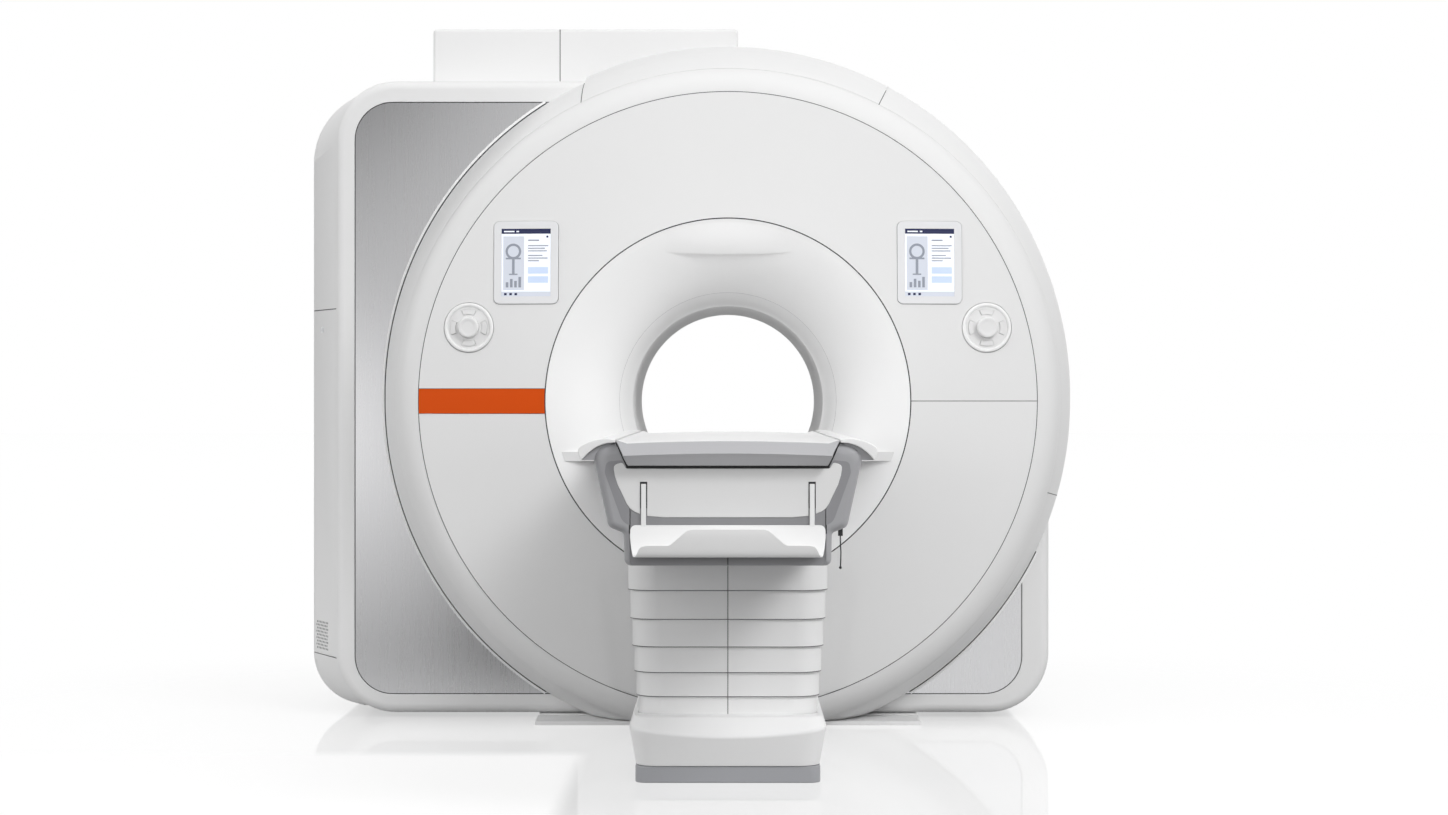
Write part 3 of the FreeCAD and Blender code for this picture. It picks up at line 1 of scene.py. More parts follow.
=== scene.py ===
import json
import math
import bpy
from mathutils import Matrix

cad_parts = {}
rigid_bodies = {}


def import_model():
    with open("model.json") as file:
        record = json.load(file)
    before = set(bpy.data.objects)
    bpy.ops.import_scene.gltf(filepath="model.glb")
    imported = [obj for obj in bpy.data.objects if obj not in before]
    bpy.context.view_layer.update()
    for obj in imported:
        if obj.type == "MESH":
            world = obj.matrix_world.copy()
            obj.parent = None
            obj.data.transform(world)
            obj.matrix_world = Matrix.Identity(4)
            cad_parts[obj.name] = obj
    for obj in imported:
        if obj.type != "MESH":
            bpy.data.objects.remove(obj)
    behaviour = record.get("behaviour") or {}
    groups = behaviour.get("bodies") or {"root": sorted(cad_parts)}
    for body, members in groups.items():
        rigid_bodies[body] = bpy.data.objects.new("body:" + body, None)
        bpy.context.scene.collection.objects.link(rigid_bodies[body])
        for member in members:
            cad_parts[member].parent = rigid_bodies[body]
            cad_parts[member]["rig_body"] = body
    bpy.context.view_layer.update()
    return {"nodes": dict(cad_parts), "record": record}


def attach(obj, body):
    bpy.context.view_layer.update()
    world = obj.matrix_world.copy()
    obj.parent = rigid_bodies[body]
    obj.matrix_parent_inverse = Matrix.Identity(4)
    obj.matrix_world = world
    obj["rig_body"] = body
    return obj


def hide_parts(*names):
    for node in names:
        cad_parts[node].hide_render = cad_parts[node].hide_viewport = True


bl_info = {
    "name": "Magnetic resonance scanner",
    "version": (1, 0, 0),
    "blender": (4, 5, 0),
    "location": "View3D > Sidebar > Scanner",
    "description": "Dresses a whole-body scanner and its patient table, and sets up a plain studio",
    "category": "Object",
}

import bpy
from mathutils import Matrix, Vector

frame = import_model()
NODES = frame["nodes"]
SLOTS = {part["node"]: part["material_slot"] for part in frame["record"]["subparts"]}

AXIS_HEIGHT = 1.0                  # bore axis above the floor
BASE, LIFT = "scanner_base", "table_lift"
MERGE = 0.00002                    # vertices closer than this are one
QUARTER = math.pi / 2
SIDES = (("left", -1), ("right", 1))


# ---------------------------------------------------------------- sizes and colours

def length(name, default, description):
    return bpy.props.FloatProperty(
        name=name, description=description, default=default, min=0.0, unit="LENGTH", precision=4)


def colour(name, default, description):
    return bpy.props.FloatVectorProperty(
        name=name, description=description, default=default, min=0.0, max=1.0, subtype="COLOR")


class ScannerSizes(bpy.types.PropertyGroup):
    edge: length("Edge", 0.0015, "Rounding of the edges of covers and panels")
    joint: length("Joint", 0.0022, "Open joint between two covers, as it shows")


class ScannerColours(bpy.types.PropertyGroup):
    cover: colour("Covers", (0.80, 0.80, 0.80), "Moulded front covers")
    funnel: colour("Funnels", (0.95, 0.95, 0.95), "Funnels at both ends of the bore")
    # Painted light: the funnels are the same plastic as the covers, painted lighter for the light that falls
    # into them.
    bright: colour("Bright trim", (0.90, 0.90, 0.90), "Control rings, tray and lips")
    slat: colour("Folding cover", (0.87, 0.87, 0.87), "Slats of the table")
    # Painted light in part: the floor plate under the gantry takes this pale colour to offset the shade that
    # falls on it.
    base: colour("Base cover", (0.95, 0.95, 0.95), "Base cover of the table and floor plate")
    side: colour("Side covers", (0.81, 0.81, 0.81), "Painted covers of the housing")
    band: colour("Band", (0.694, 0.080, 0.003), "Coloured band on the front")
    metal: colour("Metal", (0.62, 0.62, 0.63), "Brushed panels of the housing")
    table: colour("Table", (0.37, 0.37, 0.385), "Painted body of the patient table")
    # Painted shade: the middle cover is darker than the body for the shade under the end panel and tray.
    middle: colour("Middle cover", (0.27, 0.27, 0.28), "Middle of the table's end, under the end panel")
    plinth: colour("Plinth", (0.365, 0.37, 0.39), "Plinth under the table's base")


# ---------------------------------------------------------------- selecting and shaping

def alone(piece):
    bpy.ops.object.select_all(action="DESELECT")
    piece.select_set(True)
    bpy.context.view_layer.objects.active = piece


def edit(piece):
    alone(piece)
    bpy.ops.object.mode_set(mode="EDIT")
    bpy.ops.mesh.select_all(action="SELECT")


def leave_edit():
    bpy.ops.object.mode_set(mode="OBJECT")


def linked(name, data):
    """A new object in the scene."""
    piece = bpy.data.objects.new(name, data)
    bpy.context.scene.collection.objects.link(piece)
    return piece


def added(kind, name, **settings):
    """A new primitive, with its place, turn and scale taken into its mesh."""
    bpy.ops.object.select_all(action="DESELECT")
    getattr(bpy.ops.mesh, f"primitive_{kind}_add")(**settings)
    piece = bpy.context.object
    piece.name = name
    bpy.ops.object.transform_apply(location=True, rotation=True, scale=True)
    return piece


def box(name, low, high):
    return added("cube", name, size=1, location=[(a + b) / 2 for a, b in zip(low, high)],
                 scale=[b - a for a, b in zip(low, high)])


def rod(name, radius, depth, vertices, place=(0, 0, 0)):
    """A round rod along the Y axis."""
    return added("cylinder", name, vertices=vertices, radius=radius, depth=depth, location=place,
                 rotation=(QUARTER, 0, 0))


def modify(piece, kind, **settings):
    """Adds a modifier and applies it."""
    alone(piece)
    modifier = piece.modifiers.new(kind.title(), kind)
    for name, value in settings.items():
        setattr(modifier, name, value)
    bpy.ops.object.modifier_apply(modifier=modifier.name)


def smooth(piece, degrees=35, weighted=True):
    alone(piece)
    bpy.ops.object.shade_smooth_by_angle(angle=math.radians(degrees))
    if weighted:
        modify(piece, "WEIGHTED_NORMAL", keep_sharp=True, weight=80)


def round_off(piece, width, segments=3, limit=50, clamped=False):
    modify(piece, "BEVEL", width=width, segments=segments, limit_method="ANGLE",
           angle_limit=math.radians(limit), use_clamp_overlap=clamped, miter_outer="MITER_ARC")


def finish(piece, skin, body, slot, *replaced):
    """Skin, moving body and, where the piece stands for solids, their nodes; the slot is not used."""
    piece.data.materials.clear()
    piece.data.materials.append(paint(skin))
    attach(piece, body)
    if replaced:
        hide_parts(*replaced)


def finish_smooth(piece, degrees, *facts):
    smooth(piece, degrees)
    finish(piece, *facts)


def dress(node, skin, edge=None, segments=2):
    """A copy of a solid with its facets merged, its edges rounded and its curves shaded smooth."""
    piece = linked(node + "_finish", NODES[node].data.copy())
    alone(piece)
    if piece.data.has_custom_normals:
        bpy.ops.mesh.customdata_custom_splitnormals_clear()
    edit(piece)
    bpy.ops.mesh.remove_doubles(threshold=MERGE)
    bpy.ops.mesh.dissolve_limited(angle_limit=math.radians(0.4))
    leave_edit()
    round_off(piece, edge or bpy.context.scene.scanner_sizes.edge, segments, 30, True)
    finish_smooth(piece, 35, skin, NODES[node]["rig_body"], SLOTS[node], node)


def arc(centre, radius, first, last, steps):
    """Points round a centre, from one direction to another by the shorter way."""
    turn = math.atan2(first.y, first.x)
    sweep = (math.atan2(last.y, last.x) - turn + math.pi) % (2 * math.pi) - math.pi
    turns = [turn + sweep * step / steps for step in range(steps + 1)]
    return [(centre.x + radius * math.cos(turn), centre.y + radius * math.sin(turn)) for turn in turns]


def rounded(corners, steps=6):
    """A closed outline. Each corner is (a, b) or (a, b, radius), and a radius turns it into an arc."""
    points = []
    for index, corner in enumerate(corners):
        here = Vector(corner[:2])
        if len(corner) < 3:
            points.append((here.x, here.y))
            continue
        back = (Vector(corners[index - 1][:2]) - here).normalized()
        ahead = (Vector(corners[(index + 1) % len(corners)][:2]) - here).normalized()
        half = back.angle(ahead) / 2
        reach = corner[2] / math.tan(half)
        centre = here + (back + ahead).normalized() * (corner[2] / math.sin(half))
        points += arc(centre, corner[2], here + back * reach - centre, here + ahead * reach - centre, steps)
    return points


def rounded_box(low, high, corner, far_corner=None, steps=6):
    """A rounded rectangle between two corners; the far corners are those at the greater second measure."""
    far = corner if far_corner is None else far_corner
    return rounded([(low[0], low[1], corner), (high[0], low[1], corner), (high[0], high[1], far),
                    (low[0], high[1], far)], steps)


def mirrored(half):
    """The right half of an outline, from the bottom up, closed by its mirror image."""
    return list(half) + [(-corner[0],) + tuple(corner[1:]) for corner in reversed(half)]


def drawn(name, points, closed=False):
    """One vertex drawn out, point by point, into a line."""
    points = [Vector(point) for point in points]
    piece = added("plane", name, size=0.01, location=points[0])
    edit(piece)
    bpy.ops.mesh.merge(type="CENTER")
    for before, here in zip(points, points[1:] + points[:1] * closed):
        bpy.ops.mesh.extrude_region_move(TRANSFORM_OT_translate={"value": here - before})
    bpy.ops.mesh.select_all(action="SELECT")
    bpy.ops.mesh.remove_doubles(threshold=MERGE)
    leave_edit()
    return piece


def face_outwards():
    bpy.ops.mesh.select_all(action="SELECT")
    bpy.ops.mesh.normals_make_consistent(inside=False)


def plate(name, points, depth):
    """A closed outline filled and drawn out along a vector."""
    piece = drawn(name, points, closed=True)
    edit(piece)
    bpy.ops.mesh.edge_face_add()
    bpy.ops.mesh.extrude_region_move(TRANSFORM_OT_translate={"value": Vector(depth)})
    face_outwards()
    leave_edit()
    return piece


def upright_plate(name, outline, y, depth):
    """A plate with its outline of (x, z) pairs at a depth."""
    return plate(name, [(x, y, z) for x, z in outline], (0, depth, 0))


def level_plate(name, outline, z, height):
    """A plate with its outline of (x, y) pairs at a height."""
    return plate(name, [(x, y, z) for x, y in outline], (0, 0, height))


def lofted(name, rings):
    """Outlines with the same number of points, drawn out from one to the next into a closed form."""
    rings = [[Vector(point) for point in ring] for ring in rings]
    piece = drawn(name, rings[0], closed=True)
    edit(piece)
    bpy.ops.mesh.edge_face_add()
    for before, ring in zip(rings, rings[1:]):
        shift = ring[0] - before[0]
        bpy.ops.mesh.extrude_region_move(TRANSFORM_OT_translate={"value": shift})
        leave_edit()
        for vertex in piece.data.vertices:
            if vertex.select:
                reach = [(point + shift - vertex.co).length_squared for point in before]
                vertex.co = ring[reach.index(min(reach))]
        bpy.ops.object.mode_set(mode="EDIT")
    face_outwards()
    leave_edit()
    return piece


def spun(name, profile, steps=288, centre=(0, 0, AXIS_HEIGHT)):
    """A closed profile of (y, radius) pairs spun about the bore's axis."""
    x, y, z = centre
    piece = drawn(name, [(x, y + along, z + out) for along, out in profile], closed=True)
    edit(piece)
    bpy.ops.mesh.spin(steps=steps, angle=2 * math.pi, center=centre, axis=(0, 1, 0))
    bpy.ops.mesh.select_all(action="SELECT")
    bpy.ops.mesh.remove_doubles(threshold=MERGE)
    face_outwards()
    leave_edit()
    return piece


def cut(piece, *cutters, kind="DIFFERENCE"):
    for cutter in cutters:
        modify(piece, "BOOLEAN", operation=kind, object=cutter, solver="EXACT")
        bpy.data.objects.remove(cutter)
    return piece


def joined(name, pieces):
    bpy.ops.object.select_all(action="DESELECT")
    for piece in pieces:
        piece.select_set(True)
    bpy.context.view_layer.objects.active = pieces[0]
    if len(pieces) > 1:
        bpy.ops.object.join()
    pieces[0].name = name
    return pieces[0]


def turn_about(piece, angle, centre=(0, 0, AXIS_HEIGHT)):
    """Turns a piece's mesh; a positive angle is clockwise as seen from the front."""
    edit(piece)
    bpy.ops.transform.rotate(value=-angle, orient_axis="Y", center_override=centre)
    leave_edit()


def set_in_place(piece, matrix):
    """Moves a piece that was modelled round the origin to its place, in its mesh."""
    piece.data.transform(matrix)
    piece.data.update()
    return piece


def node_reach(node):
    """The lowest and highest corner of a solid."""
    places = [vertex.co for vertex in NODES[node].data.vertices]
    return [Vector(pick(place[axis] for place in places) for axis in range(3)) for pick in (min, max)]


def smoothstep(value):
    """A soft step from 0 to 1, for any value."""
    value = min(1.0, max(0.0, value))
    return value * value * (3 - 2 * value)


# ---------------------------------------------------------------- materials

def node(tree, kind, **inputs):
    """A new shader node. Each input is a value or another node's output."""
    made = tree.nodes.new("ShaderNode" + kind)
    for label, value in inputs.items():
        feed(tree, made.inputs[label.replace("_", " ")], value)
    return made


def feed(tree, socket, value):
    if isinstance(value, bpy.types.NodeSocket):
        tree.links.new(value, socket)
    else:
        socket.default_value = value


def calculate(tree, operation, *values):
    made = node(tree, "Math")
    made.operation = operation
    for socket, value in zip(made.inputs, values):
        feed(tree, socket, value)
    return made.outputs[0]


def noise(tree, coordinates, scale, detail=3.0, roughness=0.5):
    made = node(tree, "TexNoise", Vector=coordinates, Scale=scale, Detail=detail, Roughness=roughness)
    return made.outputs["Fac"]


def object_coordinates(tree, stretch=(1, 1, 1)):
    place = node(tree, "TexCoord").outputs["Object"]
    return node(tree, "Mapping", Scale=stretch, Vector=place).outputs["Vector"]


def around(tree, middle, signal, spread):
    """The middle value, moved up and down by a signal that runs from 0 to 1."""
    return calculate(tree, "MULTIPLY_ADD", calculate(tree, "SUBTRACT", signal, 0.5), spread, middle)


def new_group(name, inputs):
    """A node group for a skin: its inputs after the colour, and colour, roughness and grain as outputs."""
    group = bpy.data.node_groups.new(name, "ShaderNodeTree")
    colour_kind, float_kind = "NodeSocketColor", "NodeSocketFloat"
    for label, kind, default in [("Colour", colour_kind, (0.8, 0.8, 0.8, 1))] + [
            (label, float_kind, value) for label, value in inputs]:
        group.interface.new_socket(name=label, in_out="INPUT", socket_type=kind).default_value = default
    for label, kind in (("Colour", colour_kind), ("Roughness", float_kind), ("Grain", float_kind)):
        group.interface.new_socket(name=label, in_out="OUTPUT", socket_type=kind)
    return group, group.nodes.new("NodeGroupInput").outputs, group.nodes.new("NodeGroupOutput")


def close_group(group, given, end, tone, drift, grain):
    """Joins a tone factor, a signal for the drift of the gloss and a grain to the group's outputs."""
    tinted = node(group, "VectorMath")
    tinted.operation = "SCALE"
    group.links.new(given["Colour"], tinted.inputs[0])
    group.links.new(tone, tinted.inputs["Scale"])
    group.links.new(tinted.outputs["Vector"], end.inputs["Colour"])
    group.links.new(around(group, given["Gloss"], drift, given["Gloss drift"]), end.inputs["Roughness"])
    group.links.new(grain, end.inputs["Grain"])
    return group


def moulded_group():
    """Moulded or painted skin: a slow drift of tone and gloss, and a fine grain."""
    group, given, end = new_group(
        "moulded skin", [("Tone drift", 0.03), ("Gloss", 0.35), ("Gloss drift", 0.08), ("Grain size", 900.0)])
    here = object_coordinates(group)
    tone = around(group, 1.0, noise(group, here, 1.6, 2.0), given["Tone drift"])
    return close_group(group, given, end, tone, noise(group, here, 14.0, 4.0, 0.6),
                       noise(group, here, given["Grain size"], 2.0))


def brushed_group():
    """Upright brushing: streaks that vary the tone, the gloss and the height."""
    group, given, end = new_group("brushed skin", [("Streak", 0.07), ("Gloss", 0.3), ("Gloss drift", 0.1)])
    coarse = noise(group, object_coordinates(group, (160, 160, 3)), 1.0, 3.0)
    fine = noise(group, object_coordinates(group, (900, 900, 9)), 1.0, 2.0)
    both = calculate(group, "MULTIPLY_ADD", fine, 0.5, calculate(group, "MULTIPLY", coarse, 0.5))
    return close_group(group, given, end, around(group, 1.0, both, given["Streak"]), both, both)


GROUPS = {}
MATERIALS = {}

SKINS = {                          # a colour or the name of one in ScannerColours, gloss, other settings
    "cover white": ("cover", 0.36, dict(drift=0.012)),
    "panel white": ("cover", 0.40, dict(drift=0.012)),
    "side white": ("side", 0.42, dict(drift=0.015)),
    "liner white": ("side", 0.6, dict(drift=0.02)),
    # Painted light: lighter than the cover white, for the light that falls into the funnels.
    "funnel white": ("funnel", 0.34, dict(drift=0.012)),
    "bright white": ("bright", 0.25, dict(bump=0.004, drift=0.01, coat=0.3)),
    "top white": ("bright", 0.30, dict(bump=0.004, drift=0.01)),
    "slat white": ("slat", 0.38, dict(drift=0.02)),
    "base white": ("base", 0.36, dict(drift=0.01)),
    "band orange": ("band", 0.45, dict(drift=0.04, specular=0.12)),
    "table grey": ("table", 0.36, dict(drift=0.03)),
    "middle grey": ("middle", 0.38, dict(drift=0.04)),
    "plinth grey": ("plinth", 0.42, dict(drift=0.05)),
    "nose grey": ((0.50, 0.50, 0.517), 0.32, dict(bump=0.004, drift=0.02)),
    "surround grey": ((0.27, 0.27, 0.283), 0.38, dict(drift=0.03)),
    "seam grey": ((0.55, 0.55, 0.555), 0.5, dict(drift=0.05)),
    # Painted shade: the two dark skins below go on strips set in gaps, slots, joints and holes, where shadow
    # falls.
    "slat shade dark": ((0.13, 0.13, 0.132), 0.6, dict(drift=0.1)),
    "joint shade dark": ((0.035, 0.035, 0.037), 0.6, dict(drift=0.1)),
    "display silver": ((0.80, 0.805, 0.82), 0.25, dict(coat=0.3)),
    "cast resin": ((0.50, 0.42, 0.22), 0.5, dict(drift=0.12)),
    "dark paint": ((0.09, 0.095, 0.105), 0.45, dict(drift=0.1)),
    "dark plastic": ((0.02, 0.02, 0.022), 0.5, dict(drift=0.1)),
    "brushed metal": ("metal", 0.28, dict(metallic=1.0, bump=0.06)),
    "welded steel": ((0.55, 0.56, 0.57), 0.38, dict(metallic=1.0, bump=0.1)),
    "aluminium": ((0.66, 0.67, 0.69), 0.32, dict(metallic=1.0, bump=0.08)),
}
PAGE_TINTS = {
    "pale": (0.83, 0.86, 0.92), "navy": (0.010, 0.014, 0.06), "column": (0.56, 0.59, 0.66),
    "lines": (0.24, 0.26, 0.31), "soft_blue": (0.52, 0.62, 0.80), "light": (0.80, 0.84, 0.92)}
SKINS.update({"display " + name.replace("_", " "): (tint, 0.25, dict(bump=0.002, drift=0.02, glow=0.28))
              for name, tint in PAGE_TINTS.items()})


def paint(name):
    """The material of a name in SKINS, made when it is first asked for."""
    if name not in MATERIALS:
        tint, gloss, settings = SKINS[name]
        if isinstance(tint, str):
            tint = getattr(bpy.context.scene.scanner_colours, tint)
        MATERIALS[name] = new_skin(name, tint, gloss, **settings)
    return MATERIALS[name]


def new_skin(name, tint, gloss, bump=0.02, metallic=0.0, coat=0.0, specular=0.5, glow=0.0, drift=None):
    """A material whose colour, gloss and grain come from a group: brushed for metal, moulded for the rest."""
    make_group = brushed_group if metallic else moulded_group
    if make_group not in GROUPS:
        GROUPS[make_group] = make_group()
    material = bpy.data.materials.new(name)
    material.use_nodes = True
    tree = material.node_tree
    effect = node(tree, "Group")
    effect.node_tree = GROUPS[make_group]
    effect.inputs["Colour"].default_value = (*tint, 1)
    effect.inputs["Gloss"].default_value = gloss
    if drift is not None:
        effect.inputs["Tone drift"].default_value = drift
    relief = node(tree, "Bump", Strength=bump, Distance=0.0002, Height=effect.outputs["Grain"])
    shader = tree.nodes["Principled BSDF"].inputs
    for label, value in (
            ("Base Color", effect.outputs["Colour"]), ("Roughness", effect.outputs["Roughness"]),
            ("Normal", relief.outputs["Normal"]), ("Metallic", metallic), ("Specular IOR Level", specular),
            ("Coat Weight", coat), ("Coat Roughness", 0.12)):
        feed(tree, shader[label], value)
    if glow:
        feed(tree, shader["Emission Color"], effect.outputs["Colour"])
        feed(tree, shader["Emission Strength"], glow)
    return material


# ---------------------------------------------------------------- studio

WHITE = (1, 1, 1, 1)
AMBIENT = 0.30
FLOOR_GREY, FLOOR_LIFT = (0.32, 0.32, 0.32, 1), 0.72
FLOOR_NEAR, FLOOR_FAR = 1.3, 3.4   # shadows fade out on the floor between these distances
MIRROR = 0.25
CARD_LOW, CARD_HIGH = (-2.85, -1.501, 0.01), (-0.42, -1.5, 2.8)
CARD_LEVEL = 0.82
CARD_SPOTS = (                     # place (x, z), reach and strength of the card's brighter and darker zones
    ((-1.45, 2.35), 0.95, -0.65), ((-1.45, 0.90), 0.60, 0.52), ((-1.30, 1.50), 0.50, -0.10),
    ((-0.55, -0.15), 0.95, -1.10), ((-1.40, -0.05), 0.45, -0.40))
LAMPS = (                          # name, place, target, size and power
    ("key", (4.5, -7.0, 6.0), (0, -0.8, 1.0), (4.0, 3.0), 349),
    ("front", (-1.0, -11.0, 3.2), (0, -0.8, 1.0), (6.0, 4.0), 190),
    ("overhead", (0.0, -2.0, 6.5), (0, -0.5, 0.5), (6.0, 4.0), 98),
    ("left", (-7.0, -2.5, 2.5), (-1.0, -0.3, 1.2), (3.0, 3.0), 115),
    ("left_low", (-6.0, -5.0, 1.2), (0, -0.6, 1.0), (3.0, 3.0), 28),
    ("right_low", (6.5, -4.5, 1.3), (0, -0.6, 1.0), (3.0, 3.0), 48),
    ("behind", (2.0, 6.5, 4.0), (0, 0, 1.0), (5.0, 3.0), 120))


class StudioOperator(bpy.types.Operator):
    """Pale glossy floor, white background, soft lights and the camera"""
    bl_idname = "scanner.studio"
    bl_label = "Studio"

    def execute(self, context):
        build_world(context.scene)
        build_floor()
        build_card()
        for lamp in LAMPS:
            soft_lamp(*lamp)
        build_camera(context.scene)
        return {"FINISHED"}


def new_tree(owner):
    owner.use_nodes = True
    owner.node_tree.nodes.clear()
    return owner.node_tree


def mixed(tree, share, first, second):
    """Two shaders mixed; the share is the second one's."""
    made = node(tree, "MixShader", Fac=share)
    tree.links.new(first, made.inputs[1])
    tree.links.new(second, made.inputs[2])
    return made.outputs[0]


def ramp(tree, value, first, last, start=0.0, end=1.0):
    """A smooth run from one level to another, between two values."""
    made = node(tree, "MapRange", Value=value, From_Min=first, From_Max=last, To_Min=start, To_Max=end)
    made.interpolation_type = "SMOOTHSTEP"
    return made.outputs["Result"]


def distance_mask(tree, centre, near, far):
    """0 up to the near distance from a point, 1 beyond the far one."""
    apart = node(tree, "VectorMath")
    apart.operation = "DISTANCE"
    feed(tree, apart.inputs[0], node(tree, "TexCoord").outputs["Object"])
    feed(tree, apart.inputs[1], centre)
    return ramp(tree, apart.outputs["Value"], near, far)


def build_world(scene):
    scene.world = bpy.data.worlds.new("studio")
    tree = new_tree(scene.world)
    path = node(tree, "LightPath").outputs
    seen = calculate(tree, "MAXIMUM", path["Is Camera Ray"], path["Is Transmission Ray"])
    seen = calculate(tree, "MAXIMUM", seen, path["Is Glossy Ray"])
    ambient = node(tree, "Background", Color=WHITE, Strength=AMBIENT).outputs[0]
    ground = node(tree, "Background", Color=WHITE).outputs[0]
    node(tree, "OutputWorld", Surface=mixed(tree, seen, ambient, ground))
    scene.view_settings.view_transform = "Standard"


def build_floor():
    """A pale glossy floor that keeps shadows near the scanner and turns white further away."""
    floor = added("plane", "studio_floor", size=160)
    material = bpy.data.materials.new("studio floor")
    tree = new_tree(material)
    path = node(tree, "LightPath").outputs
    seen = calculate(tree, "MAXIMUM", path["Is Camera Ray"], path["Is Glossy Ray"])
    both = node(tree, "AddShader")
    feed(tree, both.inputs[0], node(tree, "BsdfDiffuse", Color=FLOOR_GREY).outputs[0])
    feed(tree, both.inputs[1],
         node(tree, "Emission", Strength=calculate(tree, "MULTIPLY", seen, FLOOR_LIFT)).outputs[0])
    matt = mixed(tree, distance_mask(tree, (0, -0.9, 0), FLOOR_NEAR, FLOOR_FAR), both.outputs[0],
                 node(tree, "Emission", Strength=seen).outputs[0])
    mirror = node(tree, "BsdfGlossy", Roughness=0.05, Color=WHITE).outputs[0]
    node(tree, "OutputMaterial", Surface=mixed(tree, mirror_share(tree), matt, mirror))
    floor.data.materials.append(material)


def mirror_share(tree):
    """How much the floor mirrors: nothing where the card would show, in front of the left cover."""
    axes = node(tree, "SeparateXYZ", Vector=node(tree, "TexCoord").outputs["Object"]).outputs
    beside = ramp(tree, axes["X"], -0.45, -0.38, 1.0, 0.0)
    in_front = ramp(tree, axes["Y"], -1.50, -1.30, 1.0, 0.0)
    return calculate(tree, "MULTIPLY_ADD", calculate(tree, "MULTIPLY", beside, in_front), -MIRROR, MIRROR)


def build_card():
    """A large softly shaded card that the metal panel on the left mirrors."""
    card = box("studio_card", CARD_LOW, CARD_HIGH)
    material = bpy.data.materials.new("studio card")
    tree = new_tree(material)
    level = CARD_LEVEL
    for (x, z), reach, strength in CARD_SPOTS:
        mask = calculate(tree, "SUBTRACT", 1.0, distance_mask(tree, (x, CARD_HIGH[1], z), 0.0, reach))
        level = calculate(tree, "MULTIPLY_ADD", mask, strength, level)
    glow = node(tree, "Emission", Strength=calculate(tree, "MAXIMUM", level, 0.05))
    node(tree, "OutputMaterial", Surface=glow.outputs[0])
    card.data.materials.append(material)
    for kind in ("camera", "diffuse", "shadow", "transmission"):
        setattr(card, "visible_" + kind, False)


def soft_lamp(name, place, target, size, power):
    lamp = bpy.data.lights.new(name, "AREA")
    lamp.shape = "RECTANGLE"
    lamp.size, lamp.size_y = size
    lamp.energy = power
    holder = linked(name, lamp)
    holder.visible_glossy = False
    holder.location = place
    holder.rotation_euler = (Vector(target) - Vector(place)).to_track_quat("-Z", "Y").to_euler()


def build_camera(scene):
    camera = bpy.data.cameras.new("view")
    camera.lens = 70.78
    camera.sensor_width = 36.0
    camera.shift_x, camera.shift_y = -0.00266, -0.00449
    camera.clip_end = 200
    scene.camera = linked("view", camera)
    scene.camera.location = (0, -9.465, AXIS_HEIGHT)
    scene.camera.rotation_euler = (QUARTER, 0, 0)


# ---------------------------------------------------------------- release cord

CORD_TOP = (0.2654, -2.750, 0.682)
CORD_LENGTH = 0.078
CORD_DIAMETER = 0.003
CORD_SWAY = ((0.0, 0.0), (0.0, 0.26), (0.0015, 0.52), (0.0005, 0.77), (0.0, 1.0))
KNOT_RADIUS = CORD_DIAMETER * 1.15
KNOT_RISE = 0.0032                 # the knot's middle above the cord's end


class ReleaseCordOperator(bpy.types.Operator):
    """Short pull cord with a knot, on its hook under the table's shoulder"""
    bl_idname = "scanner.release_cord"
    bl_label = "Release cord"

    def execute(self, context):
        dress("cord_hook", "dark plastic", 0.001)
        x, y, z = CORD_TOP
        curve = bpy.data.curves.new("release_line", "CURVE")
        curve.dimensions = "3D"
        spline = curve.splines.new("NURBS")
        spline.points.add(len(CORD_SWAY) - 1)
        for point, (sway, part) in zip(spline.points, CORD_SWAY):
            point.co = (x + sway, y, z - CORD_LENGTH * part, 1)
        spline.order_u = 3
        spline.use_endpoint_u = True
        curve.bevel_depth = CORD_DIAMETER / 2
        curve.bevel_resolution = 4
        curve.resolution_u = 12
        curve.use_fill_caps = True
        cord = linked("release_line", curve)
        finish(cord, "dark plastic", LIFT, "cord_dark", "release_cord")
        knot = added("uv_sphere", "release_knot", segments=20, ring_count=12, radius=KNOT_RADIUS,
                     location=(x, y, z - CORD_LENGTH + KNOT_RISE))
        smooth(knot, 60, False)
        finish(knot, "dark plastic", LIFT, "cord_dark")
        return {"FINISHED"}


# the gantry's front, in metres
FRONT = -0.800                     # seam ring round the funnel
FACE_SLOPE = 0.030 / 0.388         # the front disc leans back towards its edge
SEAM_RING = 0.557
DISC_EDGE = 0.945
SKIN = 0.008
LINER_HALF = 0.465
BORE_RADIUS = 0.300
FUNNEL_ARC = 0.3468
FUNNEL_TURN = math.radians(75.0)
FAINT_SEAM = math.radians(26.6)    # fine groove round the funnel
CREASE_RADIUS = 1.024
CREASE_Y = -0.700
ROLL_ARC = 0.095
RIM_PLANE = -0.480
FLOOR_GAP = 0.015
BAND = (0.962, 1.037)
BAND_GAP = 0.0004
FAR = 3.0
LOWEST, HIGHEST = (-FAR, -FAR, -FAR), (FAR, FAR, FAR)
JOINT_SHADE_DEPTH = 0.003
SEAM_BACK = 0.0009                 # a joint's edges are set back by this and rounded by this


def face_y(radius):
    return FRONT + FACE_SLOPE * (radius - SEAM_RING)


def funnel_point(turn, offset=0.0):
    """A point of the funnel's arc as (depth behind the bore's end, radius)."""
    reach = FUNNEL_ARC - offset
    return LINER_HALF + reach * math.sin(turn), BORE_RADIUS + FUNNEL_ARC - reach * math.cos(turn)


